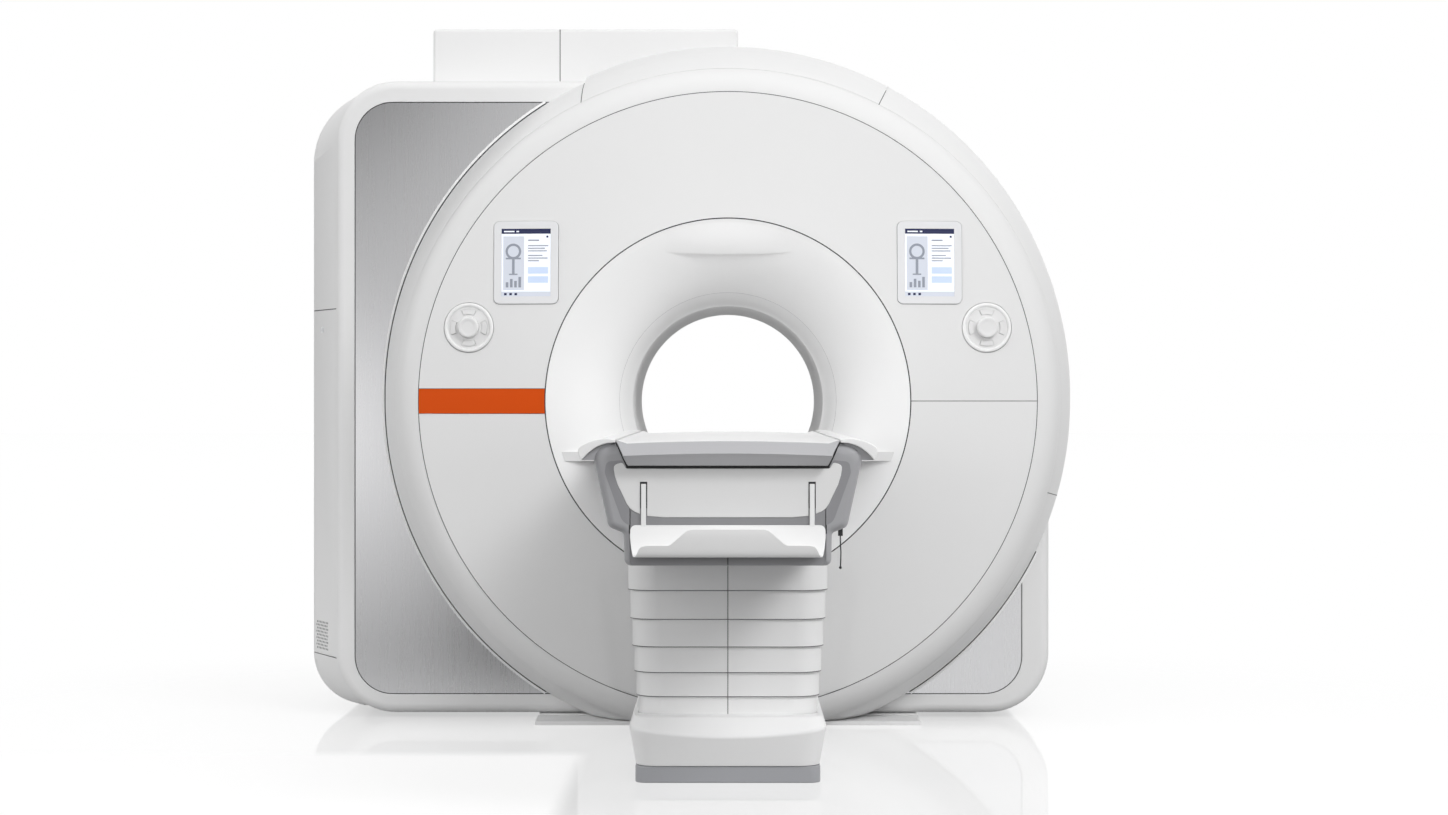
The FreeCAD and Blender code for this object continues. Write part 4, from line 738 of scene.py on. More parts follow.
def funnel_profile(side):
    """Inner skin with a fine groove, a rounded lip at the seam ring, and the outer skin."""
    last = FUNNEL_TURN - SEAM_BACK / FUNNEL_ARC
    groove = 0.0007 / FUNNEL_ARC
    turns = [last * step / 48 for step in range(1, 48)]
    marked = [(turn, 0.0) for turn in turns if abs(turn - FAINT_SEAM) > 3 * groove]
    marked += [(FAINT_SEAM - groove, 0.0), (FAINT_SEAM, 0.0012), (FAINT_SEAM + groove, 0.0)]
    points = [(LINER_HALF, BORE_RADIUS)] + [funnel_point(*mark) for mark in sorted(marked)]
    for bend in range(5):
        lean = math.radians(22.5 * bend)
        back = SEAM_BACK * (1 - math.cos(lean))
        points.append(funnel_point(last + SEAM_BACK * (math.sin(lean) - 1) / FUNNEL_ARC, back))
    points += [funnel_point(last * step / 12, SKIN) for step in range(12, -1, -1)]
    return [(side * depth, radius) for depth, radius in points]


def joint_ring(name, radius, y, half):
    """A thin dark ring that lies flush in a round joint: painted shade for the shadow in the joint."""
    strip = spun(name, [(y, radius - half), (y, radius + half), (y + JOINT_SHADE_DEPTH, radius + half),
                        (y + JOINT_SHADE_DEPTH, radius - half)])
    finish(strip, "joint shade dark", BASE, "cover_white")


class BoreOperator(bpy.types.Operator):
    """Funnels at both ends of the bore with a small visor over the front one, liner and flat floor"""
    bl_idname = "scanner.bore"
    bl_label = "Bore"

    def execute(self, context):
        for name, side in (("front", -1), ("rear", 1)):
            funnel = spun(name + "_funnel_shell", funnel_profile(side))
            finish_smooth(funnel, 40, "funnel white", BASE, "funnel_white", name + "_funnel")
        joint_ring("ring_joint_shade", SEAM_RING, FRONT + 0.0002, 0.0019)
        corners = [funnel_point(FAINT_SEAM + half, offset) for half, offset in (
            (-0.0022, -0.00015), (0.0022, -0.00015), (0.0022, 0.0012), (-0.0022, 0.0012))]
        groove = spun("funnel_seam", [(-depth, radius) for depth, radius in corners])
        finish(groove, "seam grey", BASE, "funnel_white")
        build_visor()
        dress("bore_liner", "liner white", 0.001)
        dress("bore_bridge", "liner white")
        return {"FINISHED"}


VISOR_HALF = 0.185                 # half width of the visor's lower edge
VISOR_EDGE = 0.4475                # its height above the bore axis in the middle
VISOR_LIFT = 0.020                 # how far its edge stands off the funnel
VISOR_SMILE = 0.007
VISOR_TOP = 0.5535                 # the radius at which it rises out of the funnel
VISOR_FACE = 0.88                  # share of its grid above the crisp edge; the rest turns under it


def build_visor():
    """A shallow visor moulded on the funnel, crisp along its lower edge and fading out at the sides."""
    visor = added("grid", "funnel_visor", x_subdivisions=72, y_subdivisions=26, size=2)
    for vertex in visor.data.vertices:
        side, along = vertex.co.x, (1 - vertex.co.y) / 2
        x = side * VISOR_HALF * 1.08
        low = VISOR_EDGE + VISOR_SMILE * side * side
        high = math.sqrt(VISOR_TOP ** 2 - x * x)
        down, under = min(1.0, along / VISOR_FACE), max(0.0, (along - VISOR_FACE) / (1 - VISOR_FACE))
        z = high + (low - high) * down + 0.004 * under
        radius = math.hypot(x, z)
        turn = math.acos(min(1.0, (BORE_RADIUS + FUNNEL_ARC - radius) / FUNNEL_ARC))
        depth = funnel_point(turn)[0]
        fade = max(0.0, 1 - side * side) ** 1.5
        swell = math.sin(QUARTER * down) ** 1.6
        lift = VISOR_LIFT * fade * swell * (1 - under) - 0.0004 - 0.003 * under
        vertex.co = (x, -depth - lift, AXIS_HEIGHT + z)
    edit(visor)
    face_outwards()
    leave_edit()
    if visor.data.polygons[0].normal.y > 0:
        edit(visor)
        bpy.ops.mesh.flip_normals()
        leave_edit()
    finish_smooth(visor, 50, "funnel white", BASE, "funnel_white")


class FrontCoversOperator(bpy.types.Operator):
    """Front disc in two halves, its coloured band, and the rolled edge round it"""
    bl_idname = "scanner.front_covers"
    bl_label = "Front covers"

    def execute(self, context):
        disc = spun("disc_blank", disc_profile())
        crease_disc(disc)
        half = context.scene.scanner_sizes.joint / 2
        low, high = BAND
        gap = half + BAND_GAP
        upper = cut(linked("front_disc_upper_shell", disc.data.copy()),
                    box("below", LOWEST, (FAR, FAR, AXIS_HEIGHT + half)),
                    box("beside", (-FAR, -FAR, 0), (0, FAR, high + gap)))
        lower = cut(linked("front_disc_lower_shell", disc.data.copy()),
                    box("above", (-FAR, -FAR, AXIS_HEIGHT - half), HIGHEST),
                    box("beside", (-FAR, -FAR, low - gap), (0, FAR, FAR)))
        band = cut(disc, box("strip", (-FAR, -FAR, low), (0, FAR, high)), kind="INTERSECT")
        band.name = "coloured_band"
        for _, sign in SIDES:
            cut(upper, display_cutter(sign), control_cutter(sign))
        for piece, material, slot, node in (
                (upper, "cover white", "cover_white", "front_disc_upper"),
                (lower, "cover white", "cover_white", "front_disc_lower"),
                (band, "band orange", "band_orange", "colour_band")):
            finish_smooth(piece, 30, material, BASE, slot, node)
        joint_ring("disc_joint_shade", DISC_EDGE + 0.0003, FRONT + 0.0303, 0.0011)
        # Dark strips in the straight joints of the disc and band: painted shade.
        for name, z, sign in (("side_joint_shade", AXIS_HEIGHT, 1), ("band_joint_shade", high + 0.0006, -1)):
            ends = [(sign * x, face_y(math.hypot(x, z - AXIS_HEIGHT)))
                    for x in (SEAM_RING + 0.001, DISC_EDGE)]
            ends += [(x, y + JOINT_SHADE_DEPTH) for x, y in reversed(ends)]
            line = level_plate(name, ends, z - 0.0009, 0.0018)
            finish(line, "joint shade dark", BASE, "cover_white")
        roll = spun("front_roll_shell", roll_profile())
        cut(roll, box("ground", LOWEST, (FAR, FAR, FLOOR_GAP)))
        finish_smooth(roll, 40, "cover white", BASE, "cover_white", "front_roll")
        return {"FINISHED"}


def disc_profile():
    rings = 22
    inner, outer = SEAM_RING + SEAM_BACK, DISC_EDGE - SEAM_BACK / 2
    soft = SEAM_BACK
    points = [(face_y(inner) + soft, inner), (face_y(inner) + soft * 0.3, inner + soft * 0.3)]
    for ring in range(rings + 1):
        radius = inner + soft + (outer - inner - 2 * soft) * ring / rings
        points.append((face_y(radius), radius))
    points += [(face_y(outer) + soft * 0.3, outer - soft * 0.3), (face_y(outer) + soft, outer),
               (face_y(outer) + SKIN, outer), (face_y(inner) + SKIN, inner)]
    return points


CREASE_TOP, CREASE_FULL = 0.50, 0.40    # the shallow recess by the table fades in over this height
CREASE_SOFT, CREASE_DEPTH = 0.045, 0.005


def crease_disc(disc):
    """A shallow recess beside the table, whose soft edges lean in towards the floor."""
    for vertex in disc.data.vertices:
        x, y, z = vertex.co
        height = (CREASE_TOP - z) / (CREASE_TOP - CREASE_FULL)
        edge = 0.345 + 0.11 * (z - 0.18) / 0.27 * 0.36
        inside = (edge - abs(x)) / CREASE_SOFT + 0.5
        vertex.co.y = y + CREASE_DEPTH * smoothstep(height) * smoothstep(inside)


def arc_between(start, end, radius, steps):
    """Points along an arc between two points, its centre to the right of the way between them."""
    a, b = Vector(start), Vector(end)
    chord = b - a
    middle = (a + b) / 2
    sagitta = math.sqrt(radius * radius - chord.length_squared / 4)
    centre = middle - sagitta * Vector((-chord.y, chord.x)).normalized()
    return arc(centre, radius, a - centre, b - centre, steps)


def roll_profile():
    start = (FRONT + 0.030 + SEAM_BACK, DISC_EDGE + SEAM_BACK)
    face = arc_between(start, (CREASE_Y, CREASE_RADIUS), ROLL_ARC, 20)
    back = [(y + SKIN * 0.8, radius - SKIN * 0.3) for y, radius in reversed(face)]
    return [(start[0] + 0.0008, start[1] - 0.0004)] + face + back


class RimOperator(bpy.types.Operator):
    """Four covers that run round the gantry behind the rolled edge, and the bright lips beside them"""
    bl_idname = "scanner.rim"
    bl_label = "Rim"

    def execute(self, context):
        rim = build_rim_blank()
        half = context.scene.scanner_sizes.joint / 2
        left, right, low = RIM_JOINTS
        behind = (-FAR, RIM_PLANE - 0.0006, -FAR)
        far_up, upper = (2 * FAR, FAR, 2 * FAR), (-half, FAR, 2 * FAR)
        pieces = {                 # the boxes cut away from the whole rim, each with its turn
            "rim_top": ((LOWEST, (FAR, FAR, RIM_SPLIT), 0), (LOWEST, (left + half, FAR, FAR), 0),
                        ((half, -FAR, 0), far_up, right)),
            "rim_upper_right": (((-2 * FAR, -FAR, -FAR), upper, right), ((half, -FAR, 0), far_up, low),
                                (LOWEST, (0, FAR, FAR), 0)),
            "rim_lower_right": (((-2 * FAR, -FAR, 0), upper, low), (LOWEST, (half, FAR, FAR), 0),
                                (behind, HIGHEST, 0), ((-FAR, -FAR, AXIS_HEIGHT), HIGHEST, 0)),
            "rim_left": (((left - half, -FAR, AXIS_HEIGHT), HIGHEST, 0),
                         ((-half, -FAR, -FAR), (FAR, FAR, RIM_SPLIT), 0), (behind, HIGHEST, 0))}
        for node, cutters in pieces.items():
            piece = linked(node + "_shell", rim.data.copy())
            for low_corner, high_corner, turn in cutters:
                cutter = box("cutter", low_corner, high_corner)
                if turn:
                    turn_about(cutter, turn)
                cut(piece, cutter)
            finish_smooth(piece, 40, "cover white", BASE, "cover_white", node)
        bpy.data.objects.remove(rim)
        build_lips()
        build_rim_joints()
        return {"FINISHED"}


RIM_JOINTS = -0.452, math.radians(27), math.radians(106)      # an upright joint's x, and two joints' angles
RIM_SPLIT = 1.3
JOINT_HALF = 0.0012
RIM_STATIONS = (                   # depth, radius, lift of the upper half
    (-0.6994, 1.0240, 0.001), (-0.690, 1.0290, 0.002), (-0.670, 1.0375, 0.004), (-0.640, 1.0480, 0.007),
    (-0.600, 1.0595, 0.011), (-0.560, 1.0685, 0.015), (-0.520, 1.0755, 0.0185), (-0.480, 1.0800, 0.022),
    (-0.440, 1.0817, 0.034), (-0.400, 1.0820, 0.046))


def build_rim_blank():
    """A tube round the gantry, drawn out station by station, with the upper half lifted bit by bit."""
    y, radius = RIM_STATIONS[0][:2]
    rim = added("circle", "rim_blank", vertices=360, radius=radius, location=(0, y, AXIS_HEIGHT),
                rotation=(QUARTER, 0, 0))
    edit(rim)
    raised = 0.0
    for index, (next_y, next_radius, next_lift) in enumerate(RIM_STATIONS):
        if index:
            bpy.ops.mesh.extrude_edges_move(TRANSFORM_OT_translate={"value": (0, next_y - y, 0)})
            ratio = next_radius / radius
            for upper in (False, True):
                pick_half(rim, next_y, upper)
                bpy.ops.transform.resize(
                    value=(ratio, 1, ratio), center_override=(0, next_y, AXIS_HEIGHT + raised * upper))
            pick_half(rim, next_y, True)
        else:
            pick_half(rim, next_y, True)
        bpy.ops.transform.translate(value=(0, 0, next_lift - raised))
        pick_ring(rim, next_y)
        y, radius, raised = next_y, next_radius, next_lift
    face_outwards()
    leave_edit()
    modify(rim, "SOLIDIFY", thickness=SKIN, offset=-1, use_even_offset=True)
    cut(rim, box("ground", LOWEST, (FAR, FAR, FLOOR_GAP)))
    return rim


def pick_ring(piece, y, test=lambda place: True):
    """Selects the vertices of one station that pass a test."""
    leave_edit()
    mesh = piece.data
    for edge in mesh.edges:
        edge.select = False
    for vertex in mesh.vertices:
        vertex.select = abs(vertex.co.y - y) < MERGE and test(vertex.co)
    bpy.ops.object.mode_set(mode="EDIT")
    bpy.ops.mesh.select_mode(type="VERT")


def pick_half(piece, y, upper):
    pick_ring(piece, y, lambda place: (place.z > AXIS_HEIGHT + MERGE) == upper)


def build_rim_joints():
    """Dark strips that lie flush in the joints between the rim's covers: painted shade for the shadow in the
    joints.
    """
    left, right, low = RIM_JOINTS
    for name, shift, turn, raised in (
            ("top_left", left, 0, 1), ("top_right", 0, right, 1), ("low_right", 0, low, 0)):
        outer = [(y, math.sqrt(radius ** 2 - shift ** 2) + lift * raised * math.cos(turn) + 0.0002)
                 for y, radius, lift in RIM_STATIONS[:8]]
        path = outer + [(y, reach - 0.004) for y, reach in reversed(outer)]
        path = [(shift - JOINT_HALF, y, AXIS_HEIGHT + reach) for y, reach in path]
        strip = plate(f"rim_joint_shade_{name}", path, (2 * JOINT_HALF, 0, 0))
        if turn:
            turn_about(strip, turn)
        finish(strip, "joint shade dark", BASE, "cover_white")


LIP_RADIUS, LIP_WIDTH = 1.0815, 0.0095
RIM_SHADE_LINE = 1.0834, 1.0796          # outer and inner radius of the dark line


def build_lips():
    """A bright raised lip where each metal panel meets the rim, and the dark line inside it, painted shade.
    """
    for side, first, last in (("left", -148, -32), ("right", 116, 148)):
        def ring(outer, inner):
            run = [math.radians(first + (last - first) * step / 120) for step in range(121)]
            return [lip_point(outer, turn) for turn in run] + [lip_point(inner, turn) for turn in run[::-1]]

        section = ring(LIP_RADIUS + LIP_WIDTH, LIP_RADIUS)
        lip = upright_plate(f"panel_lip_{side}", section, RIM_PLANE + 0.003, -0.0055)
        round_off(lip, 0.0018, 3, 60)
        finish_smooth(lip, 40, "bright white", BASE, "side_white")
        shade_line = upright_plate(f"rim_shade_line_{side}", ring(*RIM_SHADE_LINE), RIM_PLANE - 0.0027, 0.002)
        finish(shade_line, "joint shade dark", BASE, "side_white")


def lip_point(radius, turn):
    """A point at an angle from straight up, clockwise, on the rim's outline with its lifted upper half."""
    z = radius * math.cos(turn)
    return radius * math.sin(turn), AXIS_HEIGHT + z + (0.022 if z > 0 else 0.0)


class HousingOperator(bpy.types.Operator):
    """Housing behind the rim: frame, metal panels, side, roof and rear covers, turret and outlet"""
    bl_idname = "scanner.housing"
    bl_label = "Housing"

    def execute(self, context):
        for node in ("side_panel_left", "side_panel_right"):
            dress(node, "brushed metal", 0.0006)
        for node in ("front_frame", "left_cover_upper", "left_cover_lower", "right_cover", "roof_cover",
                     "turret_cover_left", "turret_cover_right", "rear_cover", "rear_disc"):
            dress(node, "side white")
        dress("quench_outlet", "welded steel", 0.001)
        build_panel_gap_shade()
        # A near-black strip in the turret's front joint: painted shade.
        seam = box("turret_seam", (-0.5442, -0.2502, 2.0130), (-0.5418, -0.2470, 2.2025))
        finish(seam, "joint shade dark", BASE, "side_white")
        build_left_details()
        return {"FINISHED"}


SLOPE_FRONT, SLOPE_BACK = Vector((-1.240, -0.430, 0)), Vector((-1.347, -0.200, 0))
LOCK_AT = 0.62, 1.229              # share of the way back, height
PANEL_CORNER = 0.1185


def on_slope(piece, along, z):
    """Sets a piece that faces the front on the left cover's sloping face, at a share of the way back."""
    run = SLOPE_BACK - SLOPE_FRONT
    across = run.normalized()
    inwards = Vector((0, 0, 1)).cross(-across)
    turn = Matrix((-across, inwards, Vector((0, 0, 1)))).transposed().to_4x4()
    return set_in_place(piece, Matrix.Translation(SLOPE_FRONT + run * along + Vector((0, 0, z))) @ turn)


def build_left_details():
    """Seams, air holes and a small lock on the sloping face of the left cover; seams, holes and the lock's
    slot are dark marks, painted shade.
    """
    marks = [on_slope(box("strip", (-0.122, -0.0003, -height / 2), (0.122, 0.002, height / 2)), 0.5, z)
             for z, height in ((1.293, 0.0030), (0.1835, 0.0024))]
    for row in range(9):
        for column in range(8):
            along = 0.40 + 0.062 * (column + 0.5 * (row % 2))
            hole = rod("hole", 0.0034, 0.002, 16, (0, 0.0007, 0))
            marks.append(on_slope(hole, along, 0.287 - 0.0105 * row))
    marks.append(on_slope(box("slot", (-0.0012, -0.0022, -0.005), (0.0012, 0, 0.005)), *LOCK_AT))
    finish(joined("left_cover_details", marks), "joint shade dark", BASE, "side_white")
    lock = on_slope(rod("left_cover_lock", 0.0095, 0.004, 32), *LOCK_AT)
    finish_smooth(lock, 40, "aluminium", BASE, "side_white")


def build_panel_gap_shade():
    """The thin dark gap between the frame and its metal panels, drawn as a near-black strip: painted shade.
    """
    low, high = node_reach("side_panel_left")
    right = node_reach("side_panel_right")[1]

    def sheet(name, grow, y, depth):
        return upright_plate(name, rounded_box((low.x - grow, low.z - grow), (right.x + grow, high.z + grow),
                                               PANEL_CORNER + grow, steps=16), y, depth)

    shade_line = cut(sheet("panel_gap_shade", 0.0018, RIM_PLANE + 0.0014, 0.001),
               sheet("panel_inside", -0.0012, RIM_PLANE - 0.01, 0.03),
               box("upper_right", (0, -1, right.z), (FAR, 0, FAR)))
    finish(shade_line, "joint shade dark", BASE, "side_white")


class MagnetOperator(bpy.types.Operator):
    """Vacuum vessel, gradient coil, cover ring and feet"""
    bl_idname = "scanner.magnet"
    bl_label = "Magnet"

    def execute(self, context):
        dress("vacuum_vessel", "welded steel")
        dress("gradient_coil", "cast resin")
        dress("cover_ring", "aluminium")
        dress("magnet_feet", "side white")
        return {"FINISHED"}


DISPLAY_AT = (0.615, 0.422)
CONTROL_AT = (0.790, 0.224)
DISPLAY_SIZE = (0.198, 0.253)
DISPLAY_CORNER = 0.018
CONTROL_RADIUS = 0.076
UNIT_GAP = 0.0011


def unit_matrix(x, z):
    """The place of a unit on the leaning front disc, whose own Y axis points into the gantry."""
    reach = math.hypot(x, z)
    lean = Matrix.Rotation(math.atan(FACE_SLOPE), 4, (-z / reach, 0, x / reach))
    return Matrix.Translation((x, face_y(reach), AXIS_HEIGHT + z)) @ lean


def display_outline(grow=0.0):
    wide, high = (side / 2 + grow for side in DISPLAY_SIZE)
    return rounded_box((-wide, -high), (wide, high), DISPLAY_CORNER + grow)


def display_cutter(sign):
    cutter = upright_plate("display_window", display_outline(UNIT_GAP), -0.03, 0.06)
    return set_in_place(cutter, unit_matrix(sign * DISPLAY_AT[0], DISPLAY_AT[1]))


def control_cutter(sign):
    cutter = rod("control_window", CONTROL_RADIUS + UNIT_GAP, 0.06, 96)
    return set_in_place(cutter, unit_matrix(sign * CONTROL_AT[0], CONTROL_AT[1]))


class DisplaysOperator(bpy.types.Operator):
    """Two displays let into the front disc, lit with a plain made-up page"""
    bl_idname = "scanner.displays"
    bl_label = "Displays"

    def execute(self, context):
        for side, sign in SIDES:
            build_display(side, unit_matrix(sign * DISPLAY_AT[0], DISPLAY_AT[1]))
        return {"FINISHED"}


SCREEN_HALF = (0.0755, 0.1035)
PAGE = {                           # rectangles of the page in millimetres: left, bottom, right, top
    "pale": [(-75.2, -103.2, 75.2, 103.2)],
    "navy": [(-75.2, 88, 75.2, 103.2), (-67, -100, -59, -93), (-51, -100, -43, -93), (-35, -100, -27, -93),
             (62, 76, 68, 82)],
    "column": [(-70, -84, -6, 80), (-75.2, -103.2, 75.2, -89)],
    "lines": [(6, 66, 40, 70), (6, 50, 68, 53), (6, 42, 58, 45), (6, 34, 64, 37), (6, 20, 50, 23),
              (6, 12, 66, 15), (6, 4, 40, 7), (-62, 10, -16, 15), (-43, -34, -35, 10), (-52, -38, -26, -34),
              (-62, -76, -54, -60), (-49, -76, -41, -50), (-36, -76, -28, -56), (-23, -76, -15, -44)],
    "soft_blue": [(6, -34, 68, -14), (6, -62, 68, -42)],
    "light": [(-68, 93, -36, 97), (-30, 93, -22, 97)]}
PAGE_ORDER = ("pale", "column", "navy", "soft_blue", "lines", "light")


def build_display(side, place):
    casing = upright_plate(f"display_{side}_frame", display_outline(), 0.012, -0.0155)
    round_off(casing, 0.0022, 4, 60)
    wide, high = SCREEN_HALF
    cut(casing, box("screen_window", (-wide, -0.01, -high), (wide, -0.0015, high)))
    smooth(casing, 40)
    set_in_place(casing, place)
    finish(casing, "display silver", BASE, "display_silver", "display_" + side)
    for layer, tint in enumerate(PAGE_ORDER):
        front = -0.0020 - 0.0001 * layer
        tiles = [box("tile", (x0 / 1000, front, z0 / 1000), (x1 / 1000, -0.0012, z1 / 1000))
                 for x0, z0, x1, z1 in PAGE[tint]]
        if tint == "lines":
            tiles.append(bore_sign())
        page = joined(f"display_{side}_{tint}", tiles)
        set_in_place(page, place)
        finish(page, "display " + tint.replace("_", " "), BASE, "display_silver")


def bore_sign():
    """A ring with the table through it, as a sign on the display's page."""
    return cut(*(rod("sign", radius, depth, 48, (-0.039, -0.0019, 0.034))
                 for radius, depth in ((0.024, 0.0013), (0.017, 0.01))))


class ControlUnitsOperator(bpy.types.Operator):
    """Two round control units, each with a bright ring, a jog knob and four buttons"""
    bl_idname = "scanner.control_units"
    bl_label = "Control units"

    def execute(self, context):
        for side, sign in SIDES:
            place = unit_matrix(sign * CONTROL_AT[0], CONTROL_AT[1])
            housing = spun(f"control_{side}_dish", DISH_PROFILE, 96, ORIGIN)
            for quarter in range(4):
                cut(housing, pocket(quarter))
            smooth(housing, 40)
            set_in_place(housing, place)
            finish(housing, "cover white", BASE, "control_white", "control_housing_" + side)
            ring = spun(f"control_{side}_ring", RING_PROFILE, 96, ORIGIN)
            knob = spun(f"jog_knob_{side}", KNOB_PROFILE, 96, ORIGIN)
            for piece, angle in ((ring, 50), (knob, 40)):
                smooth(piece, angle)
                set_in_place(piece, place)
            finish(ring, "bright white", BASE, "control_white")
            finish(knob, "cover white", "knob_" + side, "knob_grey", "knob_" + side)
            for button in ("upper", "outer", "lower", "inner"):
                dress(f"button_{button}_{side}", "cover white", 0.0009)
        return {"FINISHED"}


ORIGIN = (0, 0, 0)
DISH = -0.001                      # the dish between ring and knob, in front of the disc
DISH_PROFILE = (
    (0.0200, 0.0), (-0.0150, 0.0), (-0.0150, 0.0080), (DISH, 0.0080), (DISH, 0.0640), (0.0040, 0.0640),
    (0.0040, 0.0757), (0.0200, 0.0757))
RING_PROFILE = (
    (0.0035, 0.0757), (-0.0010, 0.0757), (-0.0034, 0.0748), (-0.0050, 0.0728), (-0.0056, 0.0700),
    (-0.0052, 0.0672), (-0.0040, 0.0650), (-0.0022, 0.0636), (DISH, 0.0630), (0.0035, 0.0645))
KNOB_PROFILE = (
    (-0.0020, 0.0090), (-0.0020, 0.0316), (-0.0026, 0.0322), (-0.0165, 0.0318), (-0.0188, 0.0310),
    (-0.0203, 0.0294), (-0.0209, 0.0272), (-0.0209, 0.0240), (-0.0204, 0.0218), (-0.0196, 0.0196),
    (-0.0193, 0.0150), (-0.0192, 0.0), (-0.0160, 0.0), (-0.0160, 0.0090))


def pocket(quarter):
    """The recess for one button in the dish."""
    inner, outer, half = 0.040, 0.057, math.radians(24)
    turns = [half * (2 * step / 12 - 1) for step in range(13)]
    outline = [(outer * math.sin(turn), outer * math.cos(turn)) for turn in turns]
    outline += [(inner * math.sin(turn), inner * math.cos(turn)) for turn in reversed(turns)]
    cutter = upright_plate("pocket", outline, DISH - 0.01, 0.019)
    turn_about(cutter, quarter * QUARTER, ORIGIN)
    return cutter


# the patient table, in metres
TABLE_FRONT, TABLE_BACK = -2.834, -0.850
TABLE_LONG = TABLE_BACK - TABLE_FRONT
TOP_FOOT, TOP_HEAD = -2.862, -0.830
TOP_HALF, TOP_BASE_HALF = 0.260, 0.2325
TOP_UNDER = 0.850
RIDGE_HALF = 0.2425                # half width at the nose's ridge
SLOT_HALF = 0.0086                 # half width of the slots that the tray's straps hang in


class TableTopOperator(bpy.types.Operator):
    """Sliding table top with a sharp, slightly arched nose"""
    bl_idname = "scanner.table_top"
    bl_label = "Table top"

    def execute(self, context):
        ends = [(TOP_HEAD, 0.05), (TOP_HEAD - 0.001, 0.02), (TOP_HEAD - 0.003, 0.0), (TOP_FOOT + 0.0025, 0.0),
                (TOP_FOOT + 0.0008, 0.012), (TOP_FOOT - 0.0001, 0.035)]
        nose = [(TOP_FOOT + 0.0002, 0.020), (TOP_FOOT - 0.0010, 0.050), (TOP_FOOT - 0.0128, 0.86),
                (TOP_FOOT - 0.0138, 0.915), (TOP_FOOT - 0.0145, 0.95), (TOP_FOOT - 0.0149, 0.975)]
        for name, stations, skin, *replaced in (
                ("table_top_slab", ends, "top white", "table_top"), ("table_top_nose", nose, "nose grey")):
            piece = lofted(name, [top_section(*station) for station in stations])
            finish_smooth(piece, 24, skin, "table_top", "top_white", *replaced)
        return {"FINISHED"}


def top_section(y, sharp):
    """The top's cross-section; sharp draws it together, from 0 for full height to 1 for the nose's ridge."""
    steps, corner = 24, 0.004
    upper = []
    for step in range(steps + 1):
        side = 2 * step / steps - 1
        x = side * (TOP_HALF - corner)
        upper.append((x, 0.9075 - 0.006 * (x / 0.25) ** 2 + 0.008 * smoothstep((abs(x) - 0.243) / 0.012)))
    edge_x, edge_z = upper[-1]
    ends = [(edge_x + corner * 0.7, edge_z - corner * 0.3), (TOP_HALF - 0.0018, edge_z - corner)]
    outline = [(-x, z) for x, z in reversed(ends)] + upper + ends
    foot = [(TOP_BASE_HALF + 0.0015, TOP_UNDER + 0.003), (TOP_BASE_HALF - 0.0015, TOP_UNDER)]
    outline += foot
    outline += [((1 - 2 * step / steps) * (TOP_BASE_HALF - 0.004), TOP_UNDER) for step in range(steps + 1)]
    outline += [(-x, z) for x, z in reversed(foot)]
    section = []
    for x, z in outline:
        ridge = 0.8785 - 0.006 * (x / 0.25) ** 2
        full = TOP_HALF if z > ridge else TOP_BASE_HALF
        narrowed = 1 + (RIDGE_HALF / full - 1) * sharp
        section.append((x * narrowed, y, ridge + (z - ridge) * (1 - sharp)))
    return section


BODY_HALF = (                      # right half of the body's outline, from the bottom up: x, z, radius
    (0.2415, 0.6155, 0.016), (0.2432, 0.6920, 0.009), (0.2790, 0.7060, 0.020), (0.3130, 0.8610),
    (0.3134, 0.8700), (0.3112, 0.8790), (0.3062, 0.8870), (0.2985, 0.8940), (0.2880, 0.8990),
    (0.2780, 0.9018), (0.2615, 0.9030), (0.2512, 0.8777), (0.2385, 0.8495))
CAVITY_HALF = ((0.2295, 0.6275), (0.2295, 0.6980), (0.2680, 0.7090), (0.2960, 0.8400), (0.2370, 0.8420),
               (0.2370, 0.8700))
PANEL_HALF = (                     # right half of the end panel's outline
    (0.1500, 0.7290), (0.1870, 0.7320), (0.2040, 0.7368), (0.2170, 0.7420), (0.2274, 0.7490),
    (0.2360, 0.7610), (0.2444, 0.7798), (0.2570, 0.8054), (0.2635, 0.8264), (0.2656, 0.8400),
    (0.2655, 0.8470), (0.2625, 0.8515), (0.2570, 0.8540), (0.2490, 0.8560), (0.2440, 0.8550),
    (0.2375, 0.8438), (0.2345, 0.8426))
WING_TOP = (                       # outer curve of a wing's section, from the table top outwards
    (0.2630, 0.9105), (0.2800, 0.9128), (0.2920, 0.9126), (0.3090, 0.9095), (0.3238, 0.9048),
    (0.3380, 0.8982), (0.3455, 0.8925), (0.3488, 0.8862), (0.3480, 0.8765), (0.3452, 0.8685),
    (0.3430, 0.8630))
WING_UNDER = (                     # its inner curve, back to the table top
    (0.3408, 0.8620), (0.3326, 0.8713), (0.3238, 0.8800), (0.3120, 0.8890), (0.3020, 0.8946),
    (0.2920, 0.8985), (0.2800, 0.9016), (0.2630, 0.9030))
GROOVE_X = 0.2290
STRAP_X = 0.1963


class TableBodyOperator(bpy.types.Operator):
    """Body of the patient table with its end panel, wings, tray and chassis"""
    bl_idname = "scanner.table_body"
    bl_label = "Table body"

    def execute(self, context):
        build_body()
        build_end_panel()
        for side, sign in SIDES:
            build_wing(side, sign)
        build_tray()
        dress("table_chassis", "dark paint")
        return {"FINISHED"}


def front_box(x, half, low, high, before, behind):
    """A box at the table's front: its middle, half width, heights, and depths from the front."""
    return box("front_box", (x - half, TABLE_FRONT + before, low), (x + half, TABLE_FRONT + behind, high))


